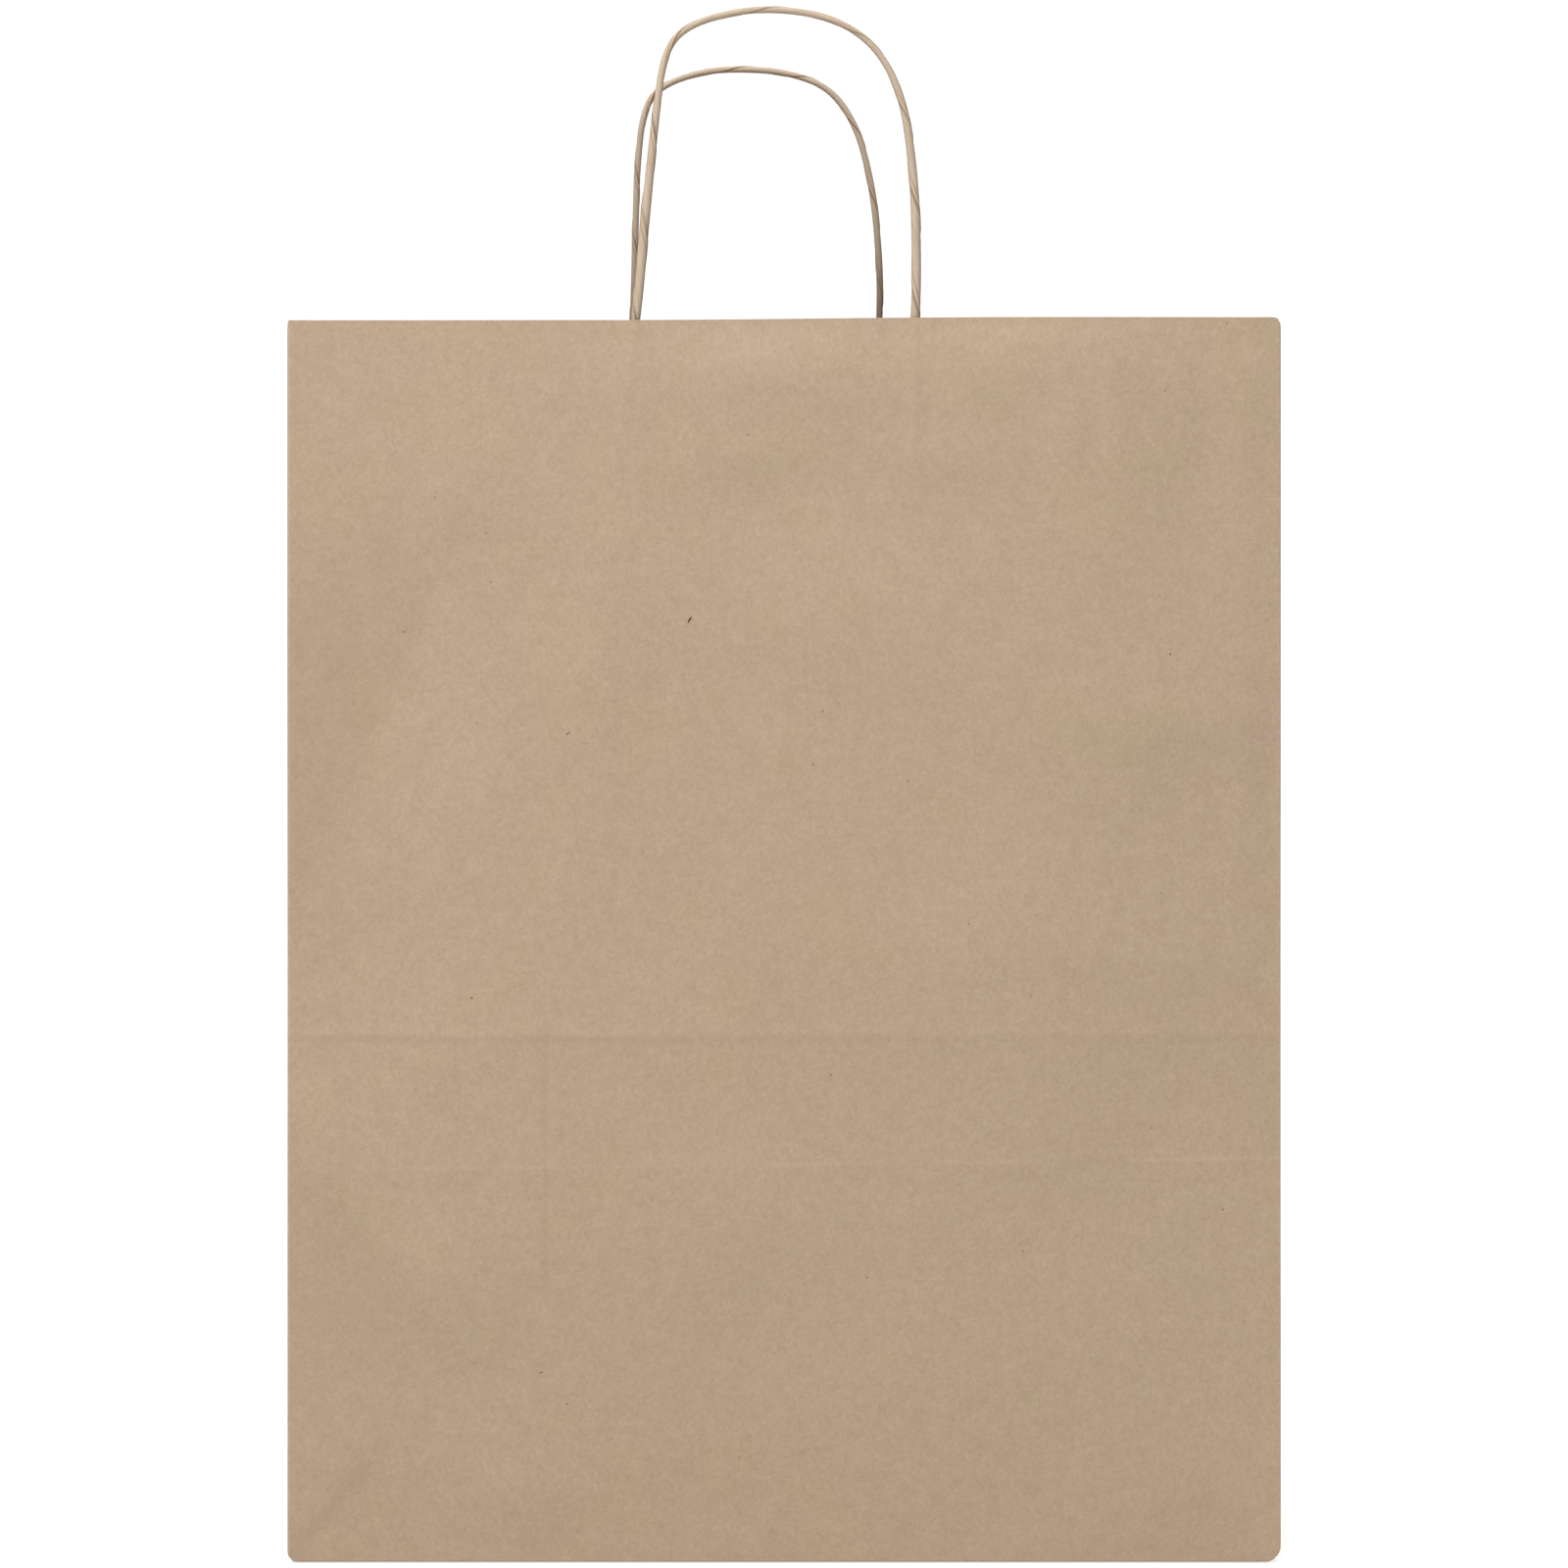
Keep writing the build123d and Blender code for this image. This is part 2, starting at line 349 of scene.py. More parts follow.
@dataclass(frozen=True)
class FrontMarks:
    """The folds and dents that the front panel has kept from being folded flat and packed."""

    fold_height: float = 0.170
    flap_height: float = 0.1282
    flap_slope: float = 0.011
    gusset_mark: float = -0.0765
    folds: tuple = (
        # the fold of the flat-packed bag, and the pressed line under it
        Fold((-0.170, 0.1700), (0.170, 0.1700), 0.00036, 0.0085, 0.0012),
        Fold((-0.170, 0.1684), (0.170, 0.1684), -0.00004, 0.0010, 0.0010),
        # the ends of the bottom's flaps
        Fold((-0.170, 0.1265), (0.170, 0.1302), 0.00011, 0.0040, 0.0006),
        # the edge of the folded gusset
        Fold((-0.0765, 0.168), (-0.0765, 0.090), -0.00012, 0.0010, 0.0010, 0.1),
        Fold((-0.0765, 0.168), (-0.0765, 0.090), 0.00012, 0.0080, 0.0040),
        # slanting wrinkles at the lower left
        Fold((-0.158, 0.155), (-0.100, 0.077), 0.00190, 0.0150, 0.0030, 0.25),
        Fold((-0.160, 0.0), (-0.126, 0.040), -0.00030, 0.0028, 0.0020, 0.25),
        Fold((-0.158, 0.006), (-0.122, 0.048), 0.00030, 0.0080, 0.0030, 0.25),
        Fold((-0.088, 0.092), (-0.071, 0.058), -0.00013, 0.0024, 0.0020),
        # ridges over the rope's two ends
        Fold((-0.0472, 0.402), (-0.0541, 0.350), 0.00026, 0.0016, 0.0012, 0.08),
        Fold((0.0423, 0.402), (0.0407, 0.350), 0.00026, 0.0016, 0.0012, 0.08),
        # slow bends below the mouth and across the right half
        Fold((-0.055, 0.352), (-0.060, 0.215), 0.00060, 0.0090, 0.0030),
        Fold((0.1035, 0.397), (0.1085, 0.348), 0.00055, 0.0050, 0.0020, 0.15),
        Fold((0.140, 0.398), (0.134, 0.330), -0.00060, 0.0080, 0.0030),
        Fold((0.100, 0.2710), (0.172, 0.2670), 0.00135, 0.0140, 0.0050, 0.3),
        Fold((0.020, 0.2880), (0.125, 0.2700), 0.00100, 0.0200, 0.0100, 0.3),
        Fold((-0.010, 0.1990), (0.172, 0.1900), 0.00095, 0.0180, 0.0080, 0.3),
        # a short wrinkle at the foot
        Fold((-0.0460, 0.0320), (-0.0405, 0.0140), 0.00014, 0.0014, 0.0010),
    )
    dents: tuple = (
        # swellings over the glued patch
        Dent(-0.006, 0.3850, 0.038, 0.0100, 0.00165, 2.0, 0.0220),
        Dent(0.076, 0.3905, 0.026, 0.0065, 0.00085, 3.0, 0.0140),
        Dent(-0.013, 0.3560, 0.027, 0.0090, 0.00075, 4.0),
        Dent(0.056, 0.3540, 0.021, 0.0080, 0.00060, -3.0),
        Dent(0.0915, 0.3620, 0.006, 0.0130, 0.00085, 6.0),
        # shallow waves in the open paper
        Dent(-0.0020, 0.2620, 0.007, 0.0140, 0.00080, 18.0),
        Dent(-0.0620, 0.2800, 0.014, 0.0180, 0.00080),
        Dent(-0.1020, 0.2380, 0.016, 0.0240, 0.00060, -20.0),
        Dent(0.0400, 0.3080, 0.040, 0.0260, 0.00130, 8.0),
        Dent(-0.0820, 0.0220, 0.020, 0.0100, 0.00120, -6.0, 0.0300),
        Dent(0.0600, 0.3770, 0.130, 0.0160, 0.00150, 0.5, 0.0800),
        Dent(0.0900, 0.2350, 0.042, 0.1000, 0.00200),
        Dent(-0.0050, 0.0110, 0.006, 0.0070, 0.00040),
        Dent(0.0900, 0.0600, 0.050, 0.0300, 0.00045, 6.0),
        Dent(0.0150, 0.1120, 0.030, 0.0220, 0.00030, 12.0),
        Dent(0.1300, 0.3300, 0.018, 0.0300, -0.00055, 10.0),
        Dent(-0.1300, 0.1000, 0.012, 0.0140, -0.00030, 20.0),
    )
    scuffs: tuple = (
        Rub((-0.0753, 0.168), (-0.0753, 0.090), 0.0009, 0.20, 0.08),
        Rub((-0.155, 0.1365), (-0.110, 0.0880), 0.0012, 0.16, 0.2),
    )
    # painted shade: dark lines along the gusset's crease and along the lower-left wrinkle
    painted_shade_lines: tuple = (
        Rub((-0.0765, 0.168), (-0.0765, 0.090), 0.0010, 0.20, 0.2),
        Rub((-0.160, 0.0), (-0.128, 0.038), 0.0024, 0.30, 0.3),
    )
    hollow: Facets = Facets(
        (
            (-0.160, 0.186, 0.0),
            (-0.160, 0.400, 0.0),
            (-0.137, 0.236, -0.0017),
            (-0.122, 0.290, -0.0026),
            (-0.112, 0.400, 0.0),
            (-0.010, 0.170, 0.0),
            (-0.080, 0.326, 0.0),
            (-0.145, 0.080, 0.0),
        ),
        ((0, 1, 2), (1, 3, 2), (1, 4, 3), (0, 7, 2), (7, 5, 2), (2, 5, 3), (3, 5, 6), (3, 6, 4)),
    )

    def flap_line(self, x: Points) -> Points:
        """The height of the line that the bottom flaps' ends have pressed into the panel."""
        return self.flap_height + self.flap_slope * x

    def relief(self, x: Points, z: Points) -> Points:
        """How far the marks push the panel outwards.

        Args:
            x: Across the panel.
            z: Up the panel.

        Returns:
            The outward distance at each point.
        """
        return sum(mark.lift(x, z) for mark in (*self.folds, *self.dents))

    def wear(self, x: Points, z: Points) -> Points:
        """How strongly each place is scuffed pale, from 0 to 1.

        Args:
            x: Across the panel.
            z: Up the panel.

        Returns:
            The strength at each point.
        """
        patchy = smooth_step(Ripple(71, 0.045, 1.0).at(x, 0.2 * z), -1.2, 1.4)
        worn = 0.70 * patchy * hump(z, self.flap_line(x), 0.0007) + 0.20 * hump(z, self.fold_height + 0.0012, 0.0015)
        return worn + sum(scuff.at(x, z) for scuff in self.scuffs)

    def shade(self, x: Points, z: Points) -> Points:
        """How much painted shade each place takes, from 0 to 1: under the fold's crease, along the gusset's crease,
        over the lower-left and left hollows and along the mouth's rim.

        Args:
            x: Across the panel.
            z: Up the panel.

        Returns:
            The strength at each point.
        """
        # painted shade: a patchy dark line just under the fold's crease, stronger on the left
        patchy = smooth_step(Ripple(83, 0.050, 1.0).at(x, 0.2 * z), -1.4, 1.2)
        tone = (0.30 - 0.12 * smooth_step(x, -0.08, 0.0)) * patchy * hump(z, self.fold_height - 0.0016, 0.0013)
        # painted shade lines along the gusset's crease and the lower-left wrinkle
        tone = tone + sum(shade_line.at(x, z) for shade_line in self.painted_shade_lines)
        # painted shade over the lower-left triangle below the slanting wrinkle
        side, along = off_line(x, z, (-0.150, 0.135), (-0.108, 0.080))
        corner = smooth_step(-side, 0.001, 0.007) * (1 - smooth_step(-side, 0.024, 0.070)) * within(along, 0.3)
        # painted shade over the left edge above a slanting line, fading out towards the top
        side, _ = off_line(x, z, (-0.160, 0.196), (-0.112, 0.305))
        tone = tone + 0.27 * smooth_step(side, -0.001, 0.007) * (1 - smooth_step(z, 0.270, 0.370))
        # the lower-left triangle and a thin line along the mouth's rolled rim, both painted shade
        return tone + 0.20 * corner + 0.22 * hump(z, 0.4, 0.0006)


@dataclass(frozen=True)
class PaperShape:
    """Turns flat places on the sharp-cornered box into the shape that the paper really takes."""

    sizes: BagSizes = SIZES
    marks: FrontMarks = FrontMarks()
    patch_middle: tuple = (-0.007, -0.0103)
    belly: float = 0.0016
    mouth_rise: float = 0.00097
    mouth_start: float = -0.00012
    mouth_step: tuple = (-0.062, 0.078)
    corner_fade: float = 0.014
    foot_fade: float = 0.020
    patch_edge: tuple = (0.094, 0.112)
    patch_foot: tuple = (0.325, 0.350)
    patch_gap: float = 0.00012
    back_fade: float = 0.040
    centre_fade: float = 0.035
    slant_fade: float = 0.020
    gusset_belly: float = 0.0012
    groove_depth: float = 0.00024
    groove_reach: float = 0.0026
    corner_spread: float = 3.2
    corner_reach: dict = field(
        default_factory=lambda: {
            (-1, -1, 1): 0.0010,
            (1, -1, 1): 0.0026,
            (-1, 1, 1): 0.0022,
            (1, 1, 1): 0.0018,
            (-1, -1, -1): 0.0032,
            (1, -1, -1): 0.0052,
            (-1, 1, -1): 0.0038,
            (1, 1, -1): 0.0030,
        }
    )

    def bulge(self, face: Face, across: Points, up: Points) -> Points:
        """How far a wall stands out from its flat plane, which is nothing along its creases.

        Args:
            face: The wall.
            across: Across the wall, from its middle.
            up: Up the wall from the floor.

        Returns:
            The outward distance at each point.
        """
        if face is Face.FLOOR:
            return 0.0 * across
        wide = face in (Face.FRONT, Face.BACK)
        edge = (self.sizes.half_width if wide else self.sizes.half_depth) - np.abs(across)
        keep = smooth_step(edge, 0.0, self.corner_fade) * smooth_step(up, 0.0, self.foot_fade)
        seed = {Face.FRONT: 3, Face.BACK: 11, Face.LEFT: 23, Face.RIGHT: 31}[face]
        wave = Ripple(seed, 0.085, 0.00042).at(across, up) + Ripple(seed + 1, 0.030, 0.00007).at(across, up)
        if wide:
            return self.wall_bulge(face, across, up, keep, wave)
        return self.gusset_bulge(across, up, keep, wave)

    def wall_bulge(self, face: Face, across: Points, up: Points, keep: Points, wave: Points) -> Points:
        """How far the front or back stands out; its paper can't sink into the patch glued behind it.

        Args:
            face: The front or the back.
            across: Across the wall, from its middle.
            up: Up the wall from the floor.
            keep: The share of the relief that each place takes.
            wave: The wall's ripples.

        Returns:
            The outward distance at each point.
        """
        s = self.sizes
        middle = self.patch_middle[0 if face is Face.FRONT else 1]
        near = (1 - smooth_step(np.abs(across - middle), *self.patch_edge)) * smooth_step(up, *self.patch_foot)
        belly = self.belly * np.cos(math.pi * across / s.width) * np.sin(math.pi * up / (1.08 * s.height))
        if face is Face.FRONT:
            wave = 0.45 * wave + self.marks.relief(across, up)
        else:
            crease = np.abs(up - s.half_depth)
            belly = belly * smooth_step(crease, 0.0, 0.090)
            keep = keep * smooth_step(crease, 0.0, self.back_fade)
            wave = 0.7 * wave - 0.0009 * np.exp(-np.abs(up - self.marks.fold_height) / 0.02)
        wave = wave + belly / np.maximum(keep, 0.05)
        held = 0.5 * (wave + np.sqrt(wave**2 + self.patch_gap**2))
        shaped = keep * (wave * (1 - near) + near * held)
        if face is Face.FRONT:
            edge = s.half_width - np.abs(across)
            shaped = shaped + self.marks.hollow.lift(across, up) * (1 - near) * smooth_step(edge, 0.0, 0.005)
        return shaped

    def gusset_bulge(self, across: Points, up: Points, keep: Points, wave: Points) -> Points:
        """How far a side stands out, with a groove along its centre crease.

        Args:
            across: Across the side, from its middle.
            up: Up the side from the floor.
            keep: The share of the relief that each place takes.
            wave: The side's ripples.

        Returns:
            The outward distance at each point.
        """
        half = self.sizes.half_depth
        keep = keep * smooth_step(np.abs(across), 0.0, self.centre_fade)
        diagonal = up - (half - np.abs(across))
        keep = keep * smooth_step(np.abs(diagonal), 0.0, self.slant_fade)
        curve = np.sin(math.pi * np.clip(np.abs(across) / half, 0, 1))
        belly = self.gusset_belly * curve * smooth_step(up, 0.03, 0.16)
        groove = np.exp(-np.abs(across) / self.groove_reach) * smooth_step(diagonal, 0.0, 0.01)
        return keep * (0.6 * wave + belly) - self.groove_depth * groove

    def laid(self, face: Face, across: Points, up: Points, depth: Points) -> Points:
        """Positions of points that lie on a face.

        Args:
            face: The face of the box.
            across: Along X on the front, back and floor, and along Y on the sides.
            up: Height on the walls, and Y on the floor.
            depth: How far inside the face's outer plane.

        Returns:
            Positions, with a last axis of three.
        """
        s = self.sizes
        across, up, depth = np.broadcast_arrays(across, up, depth)
        inside = depth - self.bulge(face, across, up)
        if face is Face.FRONT:
            flat = np.stack([across, -s.half_depth + inside, up], -1)
        elif face is Face.BACK:
            flat = np.stack([across, s.half_depth - inside, up], -1)
        elif face is Face.LEFT:
            flat = np.stack([-s.half_width + inside, across, up], -1)
        elif face is Face.RIGHT:
            flat = np.stack([s.half_width - inside, across, up], -1)
        else:
            flat = np.stack([across, up, inside], -1)
        return self.sloped(self.softened(flat))

    def sloped(self, points: Points) -> Points:
        """Raises the right half of the front's mouth a little, as its fold was not made quite square.

        Args:
            points: Positions on the rounded box.

        Returns:
            The positions, moved.
        """
        s = self.sizes
        lift = self.mouth_start + self.mouth_rise * smooth_step(points[..., 0], *self.mouth_step)
        lift = lift * points[..., 2] / s.height * (0.5 - points[..., 1] / s.depth)
        return points + lift[..., None] * np.array([0.0, 0.0, 1.0])

    def softened(self, flat: Points) -> Points:
        """Rounds the creases of the sharp-cornered box, and the outline's corners a little more.

        Args:
            flat: Positions on or just inside the box.

        Returns:
            Positions on the rounded box.
        """
        s = self.sizes
        middle = np.array([0.0, 0.0, s.height / 2])
        half = np.array([s.half_width, s.half_depth, s.height / 2])
        centred = flat - middle
        sign = np.where(centred < 0, -1.0, 1.0)
        size = np.abs(centred)
        active = np.ones_like(size)
        active[..., 2] = np.where(sign[..., 2] > 0, 0.0, 1.0)
        result = self.rounded(size, half, s.crease_round, active)
        away = half[1] - size[..., 1]
        outline = np.broadcast_to(np.array([1.0, 0.0, 1.0]), size.shape)
        for corner, reach in self.corner_reach.items():
            here = np.all(sign == np.array(corner, float), axis=-1)
            weight = np.where(here, 1 - smooth_step(away, reach, self.corner_spread * reach), 0.0)
            result = result + weight[..., None] * (self.rounded(result, half, reach, outline) - result)
        return result * sign + middle

    @staticmethod
    def rounded(size: Points, half: Points, radius: float, active: Points) -> Points:
        """Rounds the edges of one octant of a box.

        Args:
            size: Distances from the box's middle.
            half: The box's half sizes.
            radius: The radius of the rounding.
            active: 1 for each axis that takes part.

        Returns:
            The new distances from the middle.
        """
        core = half - radius
        past = np.maximum(size - core, 0.0) * active
        most = past.max(axis=-1, keepdims=True)
        length = np.linalg.norm(past, axis=-1, keepdims=True)
        scale = np.where(length > 1e-9, most / np.maximum(length, 1e-9), 1.0)
        return np.where(past > 0, core + past * scale, size)


SHAPE = PaperShape()


def make_object(name: str, vertices: Points, faces: Sequence, marks: dict[str, Points]) -> bpy.types.Object:
    """Makes a closed, smooth-shaded mesh object.

    Args:
        name: The object's name.
        vertices: Its vertices.
        faces: Its faces, as vertex numbers.
        marks: Values to store at each vertex, by name.

    Returns:
        The object, linked to the scene.
    """
    mesh = bpy.data.meshes.new(name)
    mesh.from_pydata(vertices.tolist(), [], [tuple(int(i) for i in f) for f in faces])
    for label, values in marks.items():
        mesh.attributes.new(label, "FLOAT", "POINT").data.foreach_set("value", values.astype(np.float32))
    work = bmesh.new()
    work.from_mesh(mesh)
    bmesh.ops.recalc_face_normals(work, faces=work.faces)
    work.to_mesh(mesh)
    work.free()
    mesh.polygons.foreach_set("use_smooth", [True] * len(mesh.polygons))
    mesh.set_sharp_from_angle(angle=math.radians(40))
    made = bpy.data.objects.new(name, mesh)
    bpy.context.scene.collection.objects.link(made)
    return made


def grid_faces(rows: int, columns: int, start: int = 0, wrap: bool = False) -> list[tuple[int, int, int, int]]:
    """Quads of a grid of vertices.

    Args:
        rows: Rows of vertices.
        columns: Columns of vertices.
        start: The number of the first vertex.
        wrap: Whether the last column joins the first.

    Returns:
        The quads.
    """
    quads = []
    for r in range(rows - 1):
        for c in range(columns if wrap else columns - 1):
            n = (c + 1) % columns
            a, b = start + r * columns, start + (r + 1) * columns
            quads.append((a + c, a + n, b + n, b + c))
    return quads


def sheet(name: str, outer: Points, inner: Points, wear: Points, shade: Points) -> bpy.types.Object:
    """A leaf of paper, closed all round, from the grids of its two faces.

    Args:
        name: The object's name.
        outer: Rows and columns of positions on one face.
        inner: The same on the other face.
        wear: How scuffed each place is, from 0 to 1.
        shade: How much painted shade each place takes, from 0 to 1.

    Returns:
        The leaf.
    """
    rows, columns = outer.shape[:2]
    count = rows * columns
    faces = grid_faces(rows, columns) + grid_faces(rows, columns, count)
    ring = [(0, c) for c in range(columns)] + [(r, columns - 1) for r in range(1, rows)]
    ring += [(rows - 1, c) for c in range(columns - 2, -1, -1)] + [(r, 0) for r in range(rows - 2, 0, -1)]
    loop = [r * columns + c for r, c in ring]
    for a, b in zip(loop, loop[1:] + loop[:1]):
        faces.append((a, b, b + count, a + count))
    vertices = np.concatenate([outer.reshape(-1, 3), inner.reshape(-1, 3)])
    marks = {label: np.clip(np.tile(v.reshape(-1), 2), 0.0, 1.0) for label, v in (("wear", wear), ("shade", shade))}
    return make_object(name, vertices, faces, marks)


@dataclass
class Leaf:
    """One leaf on a face of the bag, as a grid that can follow slanting edges."""

    name: str
    face: Face
    across: Points
    up: Points
    low: Callable[[Points], Points] | None = None
    high: Callable[[Points], Points] | None = None
    level: float = 0.0
    thickness: float | Callable[[Points], Points] = SIZES.paper
    rolled: float = 0.0
    wear: Callable[[Points, Points], Points] | None = None
    shade: Callable[[Points, Points], Points] | None = None
    lift: Callable[[Points, Points], Points] | None = None

    def build(self) -> bpy.types.Object:
        """Makes the leaf.

        Returns:
            The leaf's object.
        """
        across, share = np.meshgrid(self.across, self.up)
        up = share
        if self.low is not None:
            low, high = self.low(across), self.high(across)
            span = self.up[-1] - self.up[0]
            up = low + (share - self.up[0]) / span * (high - low)
        level = self.level + 0.0 * across
        if self.lift is not None:
            level = level + self.lift(across, up)
        thick = self.thickness(across) if callable(self.thickness) else self.thickness + 0.0 * across
        outer, inner = level, level + thick
        if self.rolled:
            over = np.clip(up - (SIZES.height - SIZES.paper), 0.0, SIZES.paper)
            curl = SIZES.paper - np.sqrt(np.maximum(SIZES.paper**2 - over**2, 0.0))
            outer = outer + curl if self.rolled > 0 else outer
            inner = inner if self.rolled > 0 else inner - curl * thick / SIZES.paper
        return sheet(
            self.name,
            SHAPE.laid(self.face, across, up, outer),
            SHAPE.laid(self.face, across, up, inner),
            self.wear(across, up) if self.wear is not None else 0.0 * across,
            self.shade(across, up) if self.shade is not None else 0.0 * across,
        )


CORNER_LINES = (0.0022, 0.00028)
ROLL = (SIZES.height - 0.0001, 0.00016, 0.00004)


def crease_wear(edge: Points, strength: float = 0.7, reach: float = 0.0009) -> Points:
    """Wear that fades away from a crease.

    Args:
        edge: Distance from the crease.
        strength: The wear on the crease itself.
        reach: How far it spreads.

    Returns:
        The wear at each point.
    """
    return strength * np.exp(-((edge / reach) ** 2))


@dataclass
class Panels:
    """The front and back walls, with their hems, the fold strip and the side seam."""

    sizes: BagSizes = SIZES
    front_step: float = 0.0023
    back_step: float = 0.0030
    hem_setback: float = 0.0015
    seam_width: float = 0.020
    seam_setback: float = 0.006

    def columns(self, step: float, marks: Sequence[tuple[float, float, float]] = ()) -> Points:
        """Grid lines across a wall, fine at both corners.

        Args:
            step: The usual distance between lines.
            marks: Other fine places, each as its centre, reach and distance between lines.

        Returns:
            The lines, in order.
        """
        half = self.sizes.half_width
        reach, gap = CORNER_LINES
        fine = [(-half, 3 * reach, 2 * gap), (half, 3 * reach, 2 * gap), (-half, reach, gap), (half, reach, gap)]
        return stops(-half, half, step, [*fine, *marks])

    def wall_wear(self, x: Points, z: Points) -> Points:
        """Wear along the corner creases and the foot of a wall."""
        side = crease_wear(self.sizes.half_width - np.abs(x))
        return side + crease_wear(z)

    def front(self) -> bpy.types.Object:
        """The front panel, with the marks of its folds.

        Returns:
            The panel.
        """
        marks = FrontMarks()
        reach, gap = CORNER_LINES
        rows = stops(
            0.0,
            self.sizes.height,
            self.front_step,
            [
                (0.0, 3 * reach, 2 * gap),
                (0.0, reach, gap),
                (marks.fold_height, 0.0040, 0.0004),
                (marks.flap_height, 0.0030, 0.0004),
                (self.sizes.height, 0.0040, 0.0005),
                ROLL,
            ],
        )
        over_ropes = [(-0.0506, 0.0060, 0.0008), (0.0415, 0.0030, 0.0008)]
        columns = self.columns(self.front_step, [(marks.gusset_mark, 0.0030, 0.0005), *over_ropes])
        return Leaf(
            "front_panel_sheet",
            Face.FRONT,
            columns,
            rows,
            rolled=1,
            wear=lambda x, z: self.wall_wear(x, z) + marks.wear(x, z),
            shade=marks.shade,
        ).build()

    def back(self) -> bpy.types.Object:
        """The back panel above its crease.

        Returns:
            The panel.
        """
        low = self.sizes.half_depth
        rows = stops(low, self.sizes.height, self.back_step, [(low, 0.002, 0.0004), (0.17, 0.004, 0.001), ROLL])
        return Leaf(
            "back_panel_sheet",
            Face.BACK,
            self.columns(self.back_step),
            rows,
            rolled=1,
            wear=lambda x, z: self.wall_wear(x, z) + crease_wear(z - low) + 0.4 * hump(z, 0.17, 0.0012),
        ).build()

    def fold_strip(self) -> bpy.types.Object:
        """The foot of the back wall.

        Returns:
            The strip.
        """
        high = self.sizes.half_depth
        reach, gap = CORNER_LINES
        rows = stops(0.0, high, self.back_step, [(0.0, reach, gap), (high, 0.002, 0.0004)])
        return Leaf(
            "back_fold_strip_sheet",
            Face.BACK,
            self.columns(self.back_step),
            rows,
            wear=lambda x, z: self.wall_wear(x, z) + crease_wear(high - z),
        ).build()

    def hem(self, face: Face) -> bpy.types.Object:
        """The turned-in strip of a wall, which thins out towards the corner creases.

        Args:
            face: The wall it belongs to.

        Returns:
            The hem.
        """
        half = self.sizes.half_width
        rows = stops(self.sizes.height - self.sizes.hem, self.sizes.height, 0.0025, [ROLL])
        return Leaf(
            f"{face.value}_hem_sheet",
            face,
            stops(-half + self.hem_setback, half - self.hem_setback, 0.003),
            rows,
            level=self.sizes.paper * 1.03,
            thickness=lambda x: np.minimum(0.95 * self.sizes.paper, 0.021 * (half - np.abs(x))),
            rolled=-1,
            wear=lambda x, z: 0.5 * hump(z, self.sizes.height - self.sizes.hem, 0.0006),
        ).build()

    def seam(self) -> bpy.types.Object:
        """The glue lap inside the back wall.

        Returns:
            The lap.
        """
        right = self.sizes.half_width - self.seam_setback
        rows = stops(self.sizes.half_depth + 0.0004, self.sizes.height - self.sizes.hem - 0.0002, 0.004)
        return Leaf(
            "side_seam_lap_sheet",
            Face.BACK,
            stops(right - self.seam_width, right, 0.002),
            rows,
            level=self.sizes.paper * 1.03,
        ).build()

    def build(self, paper: bpy.types.Material) -> None:
        """Builds both walls and hangs them on their bodies.

        Args:
            paper: The finish of the leaves.
        """
        for made, body, node in (
            (self.front(), "front_wall", "front_panel"),
            (self.hem(Face.FRONT), "front_wall", "front_hem"),
            (self.back(), "back_wall", "back_panel"),
            (self.hem(Face.BACK), "back_wall", "back_hem"),
            (self.seam(), "back_wall", "side_seam_lap"),
            (self.fold_strip(), "back_strip", "back_fold_strip"),
        ):
            dress(made, body, node, paper)


def dress(made: bpy.types.Object, body: str, node: str, material: bpy.types.Material) -> None:
    """Gives a piece its finish and puts it in the place of its CAD node.

    Args:
        made: The piece.
        body: The body it moves with.
        node: The node it stands for.
        material: Its finish.
    """
    made.data.materials.append(material)
    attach(made, body)
    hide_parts(node)
    LOG.info("%s rides on %s", made.name, body)


